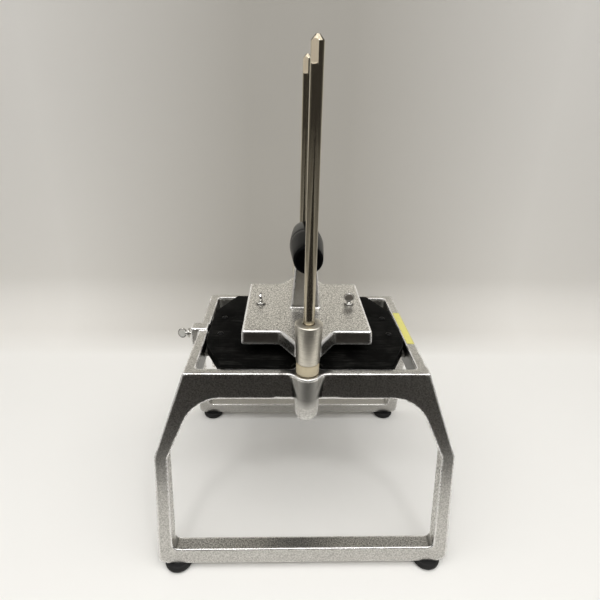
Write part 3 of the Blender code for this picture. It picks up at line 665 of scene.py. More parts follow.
@dataclass(frozen=True)
class CastMetal(Finish):
    """Tumbled sand-cast aluminium with bright edges that are partly wear and partly painted highlight, and a
    dark painted shade where the mask is set.
    """

    bright: Colour = (0.93, 0.91, 0.87)
    pit: Colour = (0.24, 0.23, 0.21)
    # Edge colour: partly wear, partly painted highlight; with less metal it stays bright from every side.
    edge_colour: Colour = (0.92, 0.91, 0.885)
    # Colour of the painted shade where the mask is set.
    raw_colour: Colour = (0.11, 0.108, 0.10)
    smooth: float = 0.275
    rough: float = 0.31
    edge_rough: float = 0.24
    edge_metal: float = 0.55
    calm_at: float = 0.45
    calm_speckle: float = 0.62
    fine_scale: float = 640
    broad_scale: float = 130
    wear_scale: float = 260
    relief: float = 0.00010

    def build(self, effects: Effects) -> Material:
        """Build the material from the shared effects."""
        material, graph, shader = self.start()
        grain = graph.group(effects.grain, fine_scale=self.fine_scale, broad_scale=self.broad_scale).outputs
        raw = self.mask(graph, RawAndShadeMask.NAME)
        # Share outside the painted shade; edge wear and painted highlight only show there.
        unshaded = graph.maths("SUBTRACT", 1.0, raw)
        wear = graph.maths("MULTIPLY", self.wear(graph, effects, self.wear_scale), unshaded)
        speckle = graph.span(raw, (0.0, self.calm_at), grain["Speckle"], self.calm_speckle)
        skin = graph.blend(speckle, self.pit, self.bright)
        # Painted shade: blends the dark colour in where the mask is set.
        skin = graph.blend(raw, skin, self.raw_colour)
        polish = graph.span(grain["Clouds"], to_low=self.smooth, to_high=self.rough)
        graph.feed_all(shader, {
            # Edges: partly real wear, partly painted highlight in a pale, less metallic colour.
            "Base Color": graph.blend(wear, skin, self.edge_colour),
            "Roughness": graph.span(wear, to_low=polish, to_high=self.edge_rough),
            "Normal": graph.bump(grain["Height"], self.relief),
            "Metallic": graph.span(wear, to_low=1.0, to_high=self.edge_metal)})
        return material


@dataclass(frozen=True)
class LinedMetal(Finish):
    """Bright metal with fine lines from polishing, turning or grinding."""

    bright: Colour = (0.67, 0.63, 0.56)
    dark: Colour = (0.51, 0.47, 0.40)
    # Colour where the mask is set: the finish of rod flats and the lock screw's dish, and painted dark
    # reflection in the pusher screws' dishes.
    raw_colour: Colour = (0.80, 0.69, 0.52)
    smooth: float = 0.10
    rough: float = 0.18
    raw_rough: float = 0.42
    metal: float = 1.0
    raw_metal: float = 0.35
    across: Point = (900.0, 900.0, 30.0)
    smudge_scale: float = 55
    relief: float = 0.000015

    def build(self, effects: Effects) -> Material:
        """Build the material from the shared effects."""
        material, graph, shader = self.start()
        across_x, across_y, across_z = self.across
        lines = graph.group(effects.streaks, across_x=across_x, across_y=across_y, across_z=across_z).outputs
        smudge = graph.group(effects.dust, scale=self.smudge_scale).outputs["Smudge"]
        raw = self.mask(graph, RawAndShadeMask.NAME)
        skin = graph.blend(lines["Lines"], self.bright, self.dark)
        polish = graph.span(lines["Lines"], to_low=self.smooth, to_high=self.rough)
        polish = graph.span(smudge, to_low=polish, to_high=self.rough)
        graph.feed_all(shader, {
            # Blends in the mask's colour: milled rod flats, the frosted lock screw dish, and a painted dark
            # reflection in the pusher screw dishes.
            "Base Color": graph.blend(raw, skin, self.raw_colour),
            "Roughness": graph.span(raw, to_low=polish, to_high=self.raw_rough),
            "Normal": graph.bump(lines["Height"], self.relief),
            "Metallic": graph.span(raw, to_low=self.metal, to_high=self.raw_metal)})
        return material


@dataclass(frozen=True)
class Moulded(Finish):
    """Moulded plastic, nylon or rubber with a fine skin and marks of use."""

    colour: Colour = (0.012, 0.012, 0.012)
    scuff: Colour = (0.055, 0.054, 0.052)
    smooth: float = 0.42
    rough: float = 0.6
    skin_scale: float = 1500
    broad_scale: float = 70
    smudge_scale: float = 38
    speck_scale: float = 520
    wear_scale: float = 300
    across: Point = (45.0, 420.0, 300.0)
    relief: float = 0.00003
    scuff_amount: float = 0.5
    shine: float = 0.5

    def build(self, effects: Effects) -> Material:
        """Build the material from the shared effects."""
        material, graph, shader = self.start()
        grain = graph.group(effects.grain, fine_scale=self.skin_scale, broad_scale=self.broad_scale).outputs
        marks = graph.group(effects.dust, scale=self.smudge_scale, speck_scale=self.speck_scale).outputs
        across_x, across_y, across_z = self.across
        lines = graph.group(effects.streaks, across_x=across_x, across_y=across_y, across_z=across_z).outputs
        rubbed = graph.maths("MULTIPLY", marks["Smudge"], lines["Lines"])
        rubbed = graph.maths("MAXIMUM", rubbed, self.wear(graph, effects, self.wear_scale))
        rubbed = graph.maths("MAXIMUM", rubbed, marks["Specks"])
        rubbed = graph.maths("MULTIPLY", rubbed, self.scuff_amount)
        graph.feed_all(shader, {
            "Base Color": graph.blend(rubbed, self.colour, self.scuff),
            "Roughness": graph.span(marks["Smudge"], to_low=self.smooth, to_high=self.rough),
            "Normal": graph.bump(grain["Height"], self.relief),
            "Specular IOR Level": self.shine})
        return material


class Finishes:
    """Every finish of the dicer, built once."""

    def __init__(self) -> None:
        """Build the shared effects and the materials."""
        effects = Effects()
        # The dark dish colour of the plated finish is a painted dark reflection on the pusher thumb screws.
        plated = LinedMetal(
            "plated_steel", bright=(0.64, 0.63, 0.60), dark=(0.50, 0.49, 0.46), rough=0.24,
            raw_colour=(0.14, 0.125, 0.105), raw_rough=0.3, across=(500.0, 500.0, 1400.0))
        frosted = replace(
            plated, name="frosted_plating", raw_colour=(0.66, 0.65, 0.61), raw_rough=0.42, raw_metal=0.3)
        self.casting = CastMetal("tumbled_casting").build(effects)
        self.turned = LinedMetal(
            "turned_casting", bright=(0.82, 0.78, 0.69), dark=(0.57, 0.535, 0.46),
            smooth=0.34, rough=0.44, across=(90.0, 90.0, 3800.0), relief=0.00006).build(effects)
        self.rod = LinedMetal(
            "polished_rod", bright=(0.48, 0.43, 0.335), dark=(0.35, 0.31, 0.225), metal=0.94).build(effects)
        self.plated = plated.build(effects)
        self.frosted = frosted.build(effects)
        self.blade = LinedMetal(
            "ground_blade", bright=(0.72, 0.73, 0.74), dark=(0.50, 0.51, 0.52),
            smooth=0.14, rough=0.32, across=(60.0, 60.0, 2600.0)).build(effects)
        self.dark_screw = LinedMetal(
            "blackened_screw", bright=(0.018, 0.018, 0.018), dark=(0.009, 0.009, 0.009),
            smooth=0.36, rough=0.5, across=(700.0, 700.0, 700.0)).build(effects)
        self.plastic = Moulded(
            "carrier_plastic", colour=(0.0030, 0.0030, 0.0028), scuff=(0.028, 0.0275, 0.025),
            scuff_amount=0.9, shine=0.008).build(effects)
        self.grip = Moulded(
            "grip_plastic", colour=(0.0018, 0.0018, 0.0018), scuff=(0.012, 0.012, 0.012),
            smooth=0.14, rough=0.26, relief=0.00001, scuff_amount=0.25, shine=0.02).build(effects)
        self.nylon = Moulded(
            "natural_nylon", colour=(0.68, 0.59, 0.41), scuff=(0.54, 0.44, 0.28),
            smooth=0.38, rough=0.55, scuff_amount=0.6).build(effects)
        self.rubber = Moulded(
            "foot_rubber", colour=(0.005, 0.005, 0.005), scuff=(0.04, 0.039, 0.037),
            smooth=0.55, rough=0.75, relief=0.00005, scuff_amount=0.35, shine=0.2).build(effects)
        self.film = Moulded(
            "yellow_film", colour=(0.68, 0.63, 0.17), scuff=(0.50, 0.46, 0.16),
            smooth=0.34, rough=0.5, relief=0.00002, scuff_amount=0.7).build(effects)


def hand_over(piece: Piece, body: Body, material: Material,
              stands_for: list[str] | None = None) -> None:
    """Dress a finished piece and let it ride on its body.

    Args:
        piece: The finished piece.
        body: Body that it moves with.
        material: Its material.
        stands_for: CAD nodes that it replaces.
    """
    EdgeMask.paint(piece)
    piece.data.materials.clear()
    piece.data.materials.append(material)
    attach(piece, body.value)
    if stands_for:
        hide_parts(*stands_for)
    piece.data.calc_loop_triangles()
    LOG.info("%s: %d triangles on %s", piece.name, len(piece.data.loop_triangles), body.value)


def dress_node(node: str, material: Material) -> None:
    """Dress a CAD node that is shown as it is."""
    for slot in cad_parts[node].material_slots:
        slot.material = material
    LOG.info("%s dressed", node)


@dataclass(frozen=True)
class Model:
    """A piece that is made once and stands in several places."""

    piece: Piece
    name: str
    body: Body
    material: Material
    slot: Slot
    node: str | None = None


def stand_copies(spots: dict[str, Vector], reach: Point, *models: Model) -> None:
    """Stand a copy of each model in every spot, and take the models away.

    Args:
        spots: Direction of each spot from the middle, by the word that ends the copies' names.
        reach: Distance of the spots from the middle along each axis.
        models: What stands there.
    """
    for word, spot in spots.items():
        place = Matrix.Translation(spot * Vector(reach))
        for model in models:
            copy = Bench.duplicate(model.piece, f"{model.name}_{word}", place)
            stands_for = [f"{model.node}_{word}"] if model.node else None
            hand_over(copy, model.body, model.material, stands_for)
    for model in models:
        Bench.discard(model.piece)


@dataclass
class FrameCasting:
    """Deck, leg loops and rod bosses in one soft-edged casting."""

    voxel: float = 0.0009
    rounds: int = 6
    keep: float = 0.40
    opening_half_width: float = 0.1182
    opening_half_depth: float = 0.0917
    opening_rim: float = 0.2325
    deck_top: float = 0.2345
    bar_top: float = 0.031
    knee: float = 0.15
    boss_y: float = 0.0945
    boss_reach: float = 0.0175
    boss_top: float = 0.232
    boss_tip: float = 0.196
    boss_fade: float = 0.012
    blend_reach: float = 0.034
    blend_y: float = 0.085
    blend_top: float = 0.2300
    boss_turn: float = 0.45
    top_turn: float = 0.75
    face_turn: float = 0.85
    edge_turn: float = 0.93
    # Painted shade: shares of a dark colour standing in for shade and dark reflections on bosses, boss
    # fronts, low edges, bars and faces.
    boss_raw: float = 0.25
    boss_front_raw: float = 0.70
    low_edge_raw: float = 0.55
    rear_bar_raw: float = 0.30
    bar_top_raw: float = 0.04
    face_raw: float = 0.22

    def build(self, finishes: Finishes) -> Piece:
        """Round the casting all over and dress it."""
        piece = Bench.copy_node("frame_casting", "frame_skin")
        Bench.soften(piece, self.voxel, self.rounds, self.keep, self.near_boss)
        # Paints shade and dark reflections into the casting's colour through the mask.
        RawAndShadeMask.paint(piece, self.painted_shade)
        hand_over(piece, Body.FRAME, finishes.casting, ["frame_casting"])
        return piece

    def near_boss(self, place: Vector) -> bool:
        """Whether a place is on a rod boss or where it runs into the beam, below the rim."""
        beside = abs(place.x) < self.blend_reach and abs(place.y) > self.blend_y
        return beside and self.bar_top < place.z < self.blend_top

    def painted_shade(self, place: Vector, normal: Vector) -> float:
        """Share of painted shade on the casting: most in the deck opening, less on bosses, low edges and
        faces.

        Args:
            place: A place on the casting.
            normal: Where its surface faces there.

        Returns:
            0 for no painted shade, up to 1 for the full painted shade colour.
        """
        across = abs(place.x) < self.opening_half_width and abs(place.y) < self.opening_half_depth
        if across and place.z < self.opening_rim:
            return 1.0
        beside = math.hypot(place.x, abs(place.y) - self.boss_y)
        if beside < self.boss_reach and place.z < self.boss_top:
            front = max(0.0, abs(normal.y) - self.boss_turn) / (1 - self.boss_turn)
            climb = min(1.0, max(0.0, (place.z - self.boss_tip) / self.boss_fade))
            return self.boss_raw + self.boss_front_raw * front * climb
        if place.z < self.knee and max(map(abs, normal)) < self.edge_turn:
            return self.low_edge_raw
        if place.z < self.bar_top and (normal.z > self.top_turn or place.y > 0):
            return self.rear_bar_raw if place.y > 0 else self.bar_top_raw
        on_deck = place.z > self.deck_top and normal.z > Bench.FACING
        return self.face_raw if on_deck or abs(normal.y) > self.face_turn else 0.0


@dataclass
class GuideRods:
    """Two polished rods with a pointed tip and two flats, and their nylon stop sleeves."""

    radius: float = 0.00555
    low: float = 0.1885
    high: float = 0.536
    tip_radius: float = 0.0018
    tip_height: float = 0.0042
    tip_ease: float = 0.0004
    tip_rise: float = 0.0003
    tip_ring: float = 0.0012
    flat_height: float = 0.0195
    flat_distance: float = 0.0046
    flat_turn: float = -29.0
    flat_ring: float = 0.002
    flat_band: float = 0.0001
    foot_edge: float = 0.0005
    sleeve_radius: float = 0.01175
    sleeve_bore: float = 0.00585
    sleeve_low: float = 0.2357
    sleeve_high: float = 0.248
    chamfer: float = 0.0007
    spacing: float = 0.0945

    def build(self, finishes: Finishes) -> None:
        """Make one rod and one sleeve, and stand a copy of each at both ends."""
        stand_copies(
            ENDS, (0, self.spacing, 0),
            Model(self.rod(), "rod", Body.FRAME, finishes.rod, Slot.ROD, "guide_rod"),
            Model(self.sleeve(), "sleeve", Body.FRAME, finishes.nylon, Slot.NYLON, "stop_sleeve"))

    def rod(self) -> Piece:
        """Turn the rod, then file its two flats, each with a ramp where it runs out."""
        radius, foot = self.radius, self.foot_edge
        shoulder = self.high - self.tip_height
        step = self.high - self.flat_height
        run_out = 2 * radius - self.flat_distance
        rod = Bench.lathe("rod", [
            (0, self.high), (self.tip_radius, self.high),
            (radius - self.tip_ease, shoulder + self.tip_rise), (radius, shoulder - self.tip_ease),
            (radius, shoulder - self.tip_ring), (radius, step - self.flat_ring),
            (radius, step - 2 * self.flat_ring), (radius, self.low + 2 * foot), (radius, self.low + foot),
            (radius - foot, self.low), (0, self.low)], steps=96)
        turn = Matrix.Rotation(math.radians(self.flat_turn), 4, "Z")
        for side in Side:
            near, far = sorted((side.value * self.flat_distance, side.value * 2 * radius))
            file = Bench.block(
                "file", (-2 * radius, near, step - run_out), (2 * radius, far, self.high + Bench.CLEAR))
            Bench.edit()
            bpy.ops.mesh.select_all(action="SELECT")
            bpy.ops.mesh.bisect(
                plane_co=(0, side.value * self.flat_distance, step), plane_no=(0, -side.value, -1),
                use_fill=True, clear_outer=True)
            bpy.ops.object.mode_set(mode="OBJECT")
            Bench.move(file, turn)
            Bench.combine(rod, file, "DIFFERENCE")
        Bench.shade(rod)
        across = turn @ Vector((0, 1, 0))
        flat_start = step - Bench.WELD
        on_flat = self.flat_distance - Bench.WELD
        RawAndShadeMask.paint(rod, lambda place, _: float(
            place.z > flat_start and on_flat < abs(place.dot(across)) < on_flat + self.flat_band))
        return rod

    def sleeve(self) -> Piece:
        """Turn a ring with chamfered rims."""
        inner, outer, edge = self.sleeve_bore, self.sleeve_radius, self.chamfer
        low, high = self.sleeve_low, self.sleeve_high
        sleeve = Bench.lathe("sleeve", [
            (inner, low), (outer - edge, low), (outer, low + edge), (outer, high - edge),
            (outer - edge, high), (inner + edge, high), (inner, high - edge), (inner, low)])
        Bench.round_edges(sleeve, Bench.FINE_EDGE, segments=2)
        return sleeve


@dataclass
class Feet:
    """Four rubber feet, each with a cross-head screw in its underside."""

    place_x: float = 0.143
    place_y: float = 0.133
    screw_radius: float = 0.0052
    screw_face: float = 0.0042
    screw_floor: float = 0.0008
    screw_seat: float = 0.0032
    rim_height: float = 0.0019
    shoulder_radius: float = 0.0050
    shoulder_height: float = 0.0013
    shank_radius: float = 0.0022
    shank_top: float = 0.0192
    cross_half_length: float = 0.0026
    cross_half_width: float = 0.0005
    cross_end: float = 0.0021
    foot_profile: Profile = (
        (0.0025, 0.0087), (0.0122, 0.0087), (0.0132, 0.0083), (0.0143, 0.0074), (0.0151, 0.0062),
        (0.0155, 0.0048), (0.0153, 0.0033), (0.0148, 0.0018), (0.0140, 0.0008), (0.0129, 0.0002),
        (0.0118, 0.0), (0.0067, 0.0), (0.0061, 0.0005), (0.0060, 0.0035), (0.0025, 0.0035),
        (0.0025, 0.0087))

    def build(self, finishes: Finishes) -> None:
        """Make one foot and one screw, and place a copy of each under every corner."""
        stand_copies(
            CORNERS, (self.place_x, self.place_y, 0),
            Model(self.foot(), "foot", Body.FRAME, finishes.rubber, Slot.RUBBER, "rubber_foot"),
            Model(self.screw(), "foot_fixing", Body.FRAME, finishes.plated, Slot.PLATED, "foot_screw"))

    def foot(self) -> Piece:
        """Turn a soft puck with a screw recess below."""
        foot = Bench.lathe("foot", self.foot_profile, steps=64)
        Bench.shade(foot)
        return foot

    def screw(self) -> Piece:
        """Turn a pan-head screw and sink a cross into its face."""
        screw = Bench.lathe("foot_fixing", [
            (0, self.shank_top), (self.shank_radius, self.shank_top),
            (self.shank_radius, self.screw_seat), (self.screw_radius, self.screw_seat),
            (self.screw_radius, self.rim_height), (self.shoulder_radius, self.shoulder_height),
            (self.screw_face, self.screw_floor), (0, self.screw_floor)], steps=40)
        Bench.sink_cross(screw, self.cross_half_length, self.cross_half_width, (0.0, self.cross_end))
        return screw


@dataclass
class BladeCarrier:
    """Black carrier plate with its screws, blade frame and crossed blades."""

    half_width: float = 0.113
    half_depth: float = 0.0886
    side_half_length: float = 0.040
    end_half_width: float = 0.0895
    corner_reach: float = 0.011
    low: float = 0.2255
    high: float = 0.2384
    outline_margin: float = 0.0001
    upright_margin: float = 0.005
    plate_edge: float = 0.0007
    frame_edge: float = 0.0005
    screw_x: float = 0.0985
    screw_y: float = 0.0205
    screw_seat: float = 0.2387
    head_radius: float = 0.0035
    head_height: float = 0.0016
    head_dome: Profile = ((0.35, 0.00005), (0.62, 0.00025), (0.85, 0.00065), (1.0, 0.0012))
    shank_radius: float = 0.0017
    shank_low: float = 0.2184
    cross_half_length: float = 0.0018
    cross_half_width: float = 0.00034
    cross_depth: float = 0.0009
    cross_rise: float = 0.001
    cross_turn: float = 20.0
    blades: int = 8

    def build(self, finishes: Finishes) -> None:
        """Ease the edges of the plate and the frame, add the screws and dress the blades."""
        plate = Bench.copy_node("blade_carrier", "carrier_plate")
        Bench.combine(plate, self.outline(), "INTERSECT")
        Bench.round_edges(plate, self.plate_edge)
        hand_over(plate, Body.FRAME, finishes.plastic, ["blade_carrier"])
        holder = Bench.copy_node("blade_frame", "blade_holder")
        Bench.round_edges(holder, self.frame_edge, segments=2)
        hand_over(holder, Body.FRAME, finishes.casting, ["blade_frame"])
        stand_copies(CORNERS, (self.screw_x, self.screw_y, 0), Model(
            self.screw(), "carrier_fixing", Body.FRAME, finishes.dark_screw, Slot.PLATED, "carrier_screw"))
        for level in ("upper", "lower"):
            for number in range(1, self.blades + 1):
                dress_node(f"{level}_blade_{number}", finishes.blade)

    def outline(self) -> Piece:
        """Block with cut corners and rounded uprights, a little larger than the plate."""
        wide, deep = self.half_width + self.outline_margin, self.half_depth + self.outline_margin
        tool = Bench.block(
            "outline", (-wide, -deep, self.low - Bench.CLEAR), (wide, deep, self.high + Bench.CLEAR))
        Bench.edit()
        slope = Vector((self.half_depth - self.side_half_length, self.half_width - self.end_half_width, 0))
        slope.normalize()
        for corner in CORNERS.values():
            normal = corner * slope
            place = corner * Vector((self.half_width, self.side_half_length, 0))
            bpy.ops.mesh.select_all(action="SELECT")
            bpy.ops.mesh.bisect(
                plane_co=place + normal * self.outline_margin, plane_no=normal,
                use_fill=True, clear_outer=True)
        Bench.select_edges(tool, self.is_side_upright)
        bpy.ops.mesh.bevel(offset=self.corner_reach, segments=8, affect="EDGES")
        bpy.ops.object.mode_set(mode="OBJECT")
        return tool

    def is_side_upright(self, first: Vector, second: Vector) -> bool:
        """Whether an edge stands upright at an end of the plate's left or right side."""
        upright = (first.xy - second.xy).length < Bench.WELD
        return upright and abs(first.y) < self.side_half_length + self.upright_margin

    def screw(self) -> Piece:
        """Turn a domed screw and sink a cross into its head."""
        seat, rim = self.screw_seat, self.head_radius
        top = seat + self.head_height
        screw = Bench.lathe("carrier_fixing", [
            (0, top), *[(share * rim, top - drop) for share, drop in self.head_dome], (rim, seat),
            (self.shank_radius, seat), (self.shank_radius, self.shank_low), (0, self.shank_low)], steps=40)
        ends = (top - self.cross_depth, top + self.cross_rise)
        Bench.sink_cross(screw, self.cross_half_length, self.cross_half_width, ends, self.cross_turn)
        return screw


@dataclass
class PushHead:
    """Head casting with its guide bosses and liners, and the pusher block."""

    bottom: float = 0.2504
    top: float = 0.2669
    half_width: float = 0.07035
    half_depth: float = 0.06685
    web_root: float = 0.0295
    web_tip: float = 0.0125
    spacing: float = 0.0945
    boss_clearance: float = 0.0117
    neck_base: float = 0.0166
    neck_top: float = 0.01045
    neck_half_depth: float = 0.00975
    neck_fillet: float = 0.0036
    neck_sink: float = 0.003
    fillet_angles: tuple[float, ...] = (25.0, 50.0, 70.0, 90.0)
    axis: float = 0.340
    bar_radius: float = 0.009
    bar_half_length: float = 0.046
    recess_half_width: float = 0.0635
    recess_half_depth: float = 0.0485
    recess_depth: float = 0.005
    hole_radius: float = 0.0027
    screw_x: float = 0.0523
    screw_y: float = 0.003
    boss_low: float = 0.2483
    boss_high: float = 0.2917
    boss_low_radius: float = 0.0122
    boss_high_radius: float = 0.01395
    boss_hole: float = 0.0062
    boss_edge: float = 0.0008
    hole_ease: float = 0.0005
    seat_radius: float = 0.0083
    seat_top: float = 0.2879
    liner_radius: float = 0.008
    liner_bore: float = 0.00585
    liner_low: float = 0.2486
    liner_high: float = 0.2876
    liner_edge: float = 0.0004
    finger_edge: float = 0.0005
    plate_edge: float = 0.0022
    draft: float = 0.0011
    neck_edge: float = 0.0014
    voxel: float = 0.0008
    rounds: int = 6
    keep: float = 0.6
    face_turn: float = 0.85
    # Share of painted shade on faces that look front or rear.
    face_raw: float = 0.4

    def build(self, finishes: Finishes) -> None:
        """Make the casting, its bosses and liners, and the pusher block."""
        casting = self.plate()
        Bench.round_edges(casting, self.plate_edge)
        Bench.combine(casting, self.neck(), "UNION")
        Bench.combine(casting, self.bar(), "UNION")
        self.drill(casting)
        Bench.soften(casting, self.voxel, self.rounds, self.keep)
        # Painted shade: front and rear faces get darker through the mask, standing in for dark reflections.
        RawAndShadeMask.paint(casting, lambda _, normal: self.face_raw if abs(normal.y) > self.face_turn else 0.0)
        hand_over(casting, Body.HEAD, finishes.casting, ["push_head"])
        stand_copies(
            ENDS, (0, self.spacing, 0),
            Model(self.boss(), "guide_boss", Body.HEAD, finishes.turned, Slot.ALUMINIUM),
            Model(self.liner(), "guide_liner", Body.HEAD, finishes.nylon, Slot.NYLON, "guide_bushing"))
        block = Bench.copy_node("pusher_block", "pusher_fingers")
        Bench.round_edges(block, self.finger_edge, segments=2)
        hand_over(block, Body.HEAD, finishes.plastic, ["pusher_block"])

    def plate(self) -> Piece:
        """Box with a tapering web drawn out of its front and rear faces, and a drafted top."""
        plate = Bench.block(
            "head_casting", (-self.half_width, -self.half_depth, self.bottom),
            (self.half_width, self.half_depth, self.top))
        Bench.edit()
        for side in Side:
            bpy.ops.mesh.select_all(action="SELECT")
            bpy.ops.mesh.bisect(plane_co=(side.value * self.web_root, 0, 0), plane_no=(1, 0, 0))
        for end in End:
            Bench.select(plate, lambda middle, normal: (
                normal.y * end.value > Bench.FACING and abs(middle.x) < self.web_tip))
            Bench.draw_out((0, end.value * (self.spacing - self.half_depth), 0))
            bpy.ops.transform.resize(value=(self.web_tip / self.web_root, 1, 1))
        Bench.select(plate, Bench.faces_up)
        bpy.ops.transform.resize(
            value=(1 - self.draft / self.half_width, 1 - self.draft / self.half_depth, 1))
        bpy.ops.object.mode_set(mode="OBJECT")
        return plate

    def neck(self) -> Piece:
        """Neck that flares into the plate and narrows upwards to the bar."""
        wide, deep, flare = self.neck_base, self.neck_half_depth, self.neck_fillet
        neck = Bench.block(
            "neck", (-wide - flare, -deep - flare, self.top - self.neck_sink),
            (wide + flare, deep + flare, self.top))
        Bench.edit()
        Bench.select(neck, Bench.faces_up)
        height, grown = 0.0, flare
        for angle in self.fillet_angles:
            rise = flare * (1 - math.cos(math.radians(angle)))
            grow = flare * (1 - math.sin(math.radians(angle)))
            Bench.draw_out((0, 0, rise - height))
            bpy.ops.transform.resize(
                value=((wide + grow) / (wide + grown), (deep + grow) / (deep + grown), 1))
            height, grown = rise, grow
        climb = self.axis - self.top - height
        Bench.draw_out((0, 0, climb))
        bpy.ops.transform.resize(value=(self.neck_top / wide, 1, 1))
        Bench.select_edges(neck, lambda first, second: abs(first.z - second.z) > climb - Bench.WELD)
        bpy.ops.mesh.bevel(offset=self.neck_edge, segments=4, affect="EDGES")
        bpy.ops.object.mode_set(mode="OBJECT")
        return neck

    def bar(self) -> Piece:
        """Round bar of the T, lying front to rear."""
        bar = Bench.drum("bar", self.bar_radius, -self.bar_half_length, self.bar_half_length)
        Bench.move(bar, Matrix.Translation((0, 0, self.axis)) @ Matrix.Rotation(math.pi / 2, 4, "X"))
        return bar

    def drill(self, casting: Piece) -> None:
        """Cut the pusher recess, the screw holes and the ends that meet the bosses."""
        low, high = self.bottom - Bench.CLEAR, self.top + Bench.CLEAR
        recess = Bench.block(
            "recess", (-self.recess_half_width, -self.recess_half_depth, low),
            (self.recess_half_width, self.recess_half_depth, self.bottom + self.recess_depth))
        Bench.combine(casting, recess, "DIFFERENCE")
        for side in Side:
            hole = Bench.drum("hole", self.hole_radius, low, high, steps=32)
            Bench.move(hole, Matrix.Translation((side.value * self.screw_x, self.screw_y, 0)))
            Bench.combine(casting, hole, "DIFFERENCE")
        for end in End:
            seat = Bench.drum("seat", self.boss_clearance, low, high)
            Bench.move(seat, Matrix.Translation((0, end.value * self.spacing, 0)))
            Bench.combine(casting, seat, "DIFFERENCE")

    def boss(self) -> Piece:
        """Turn a tapered boss with a stepped bore and a crisp rim."""
        low, high, edge = self.boss_low, self.boss_high, self.boss_edge
        hole, ease = self.boss_hole, self.hole_ease
        outer_low, outer_high = self.boss_low_radius, self.boss_high_radius
        boss = Bench.lathe("guide_boss", [
            (hole + ease, high), (outer_high - edge, high), (outer_high, high - edge),
            (outer_low, low + edge), (outer_low - edge, low), (self.seat_radius, low),
            (self.seat_radius, self.seat_top), (hole, self.seat_top), (hole, high - ease),
            (hole + ease, high)], steps=96)
        Bench.round_edges(boss, Bench.FINE_EDGE, segments=2)
        return boss

    def liner(self) -> Piece:
        """Turn the nylon liner of a guide boss."""
        inner, outer, edge = self.liner_bore, self.liner_radius, self.liner_edge
        low, high = self.liner_low, self.liner_high
        liner = Bench.lathe("guide_liner", [
            (inner, low + edge), (inner + edge, low), (outer - edge, low), (outer, low + edge),
            (outer, high), (inner, high), (inner, low + edge)])
        Bench.shade(liner)
        return liner


@dataclass
class Grip:
    """Two black half grips that meet at a ridge in the middle of the T bar."""

    axis: float = 0.340
    half_length: float = 0.050
    middle_radius: float = 0.019
    end_radius: float = 0.0156
    rim: float = 0.003
    rim_steps: int = 9
    rim_turn: float = 10.0
    cap_ring: float = 0.5
    barrel_shares: tuple[float, ...] = (0.2, 0.4, 0.6, 0.8, 0.97)
    swell: float = 0.0012
    bore: float = 0.0093
    bore_end: float = 0.0463
    parting: float = 0.00015
    parting_ease: float = 0.0003
    notch_half_width: float = 0.0125
    notch_half_depth: float = 0.01005
    notch_depth: float = 0.025

    def build(self, finishes: Finishes) -> None:
        """Turn one half for each end and notch it for the neck."""
        for end in End:
            half = Bench.lathe("grip", self.profile(), steps=96)
            lie_down = Matrix.Rotation(-end.value * math.pi / 2, 4, "X")
            Bench.move(half, Matrix.Translation((0, 0, self.axis)) @ lie_down)
            notch = Bench.block(
                "notch", (-self.notch_half_width, -self.notch_half_depth, self.axis - self.notch_depth),
                (self.notch_half_width, self.notch_half_depth, self.axis))
            Bench.combine(half, notch, "DIFFERENCE")
            half.name = f"grip_{end.word}"
            Bench.shade(half)
            hand_over(half, Body.HEAD, finishes.grip, [f"grip_half_{end.word}"])

    def profile(self) -> Profile:
        """Drafted cup with a rounded rim and a softened parting edge."""
        middle = self.end_radius - self.rim
        start = self.half_length - self.rim
        points = [(0.0, self.half_length), (middle * self.cap_ring, self.half_length)]
        for step in range(self.rim_steps):
            angle = math.radians(90 - step * self.rim_turn)
            points.append((middle + self.rim * math.cos(angle), start + self.rim * math.sin(angle)))
        for share in self.barrel_shares:
            swell = self.swell * share * (1 - share)
            radius = self.end_radius + (self.middle_radius - self.end_radius) * share + swell
            points.append((radius, start * (1 - share)))
        return points + [
            (self.middle_radius - self.parting_ease, self.parting), (self.bore, self.parting),
            (self.bore, self.bore_end), (0.0, self.bore_end)]


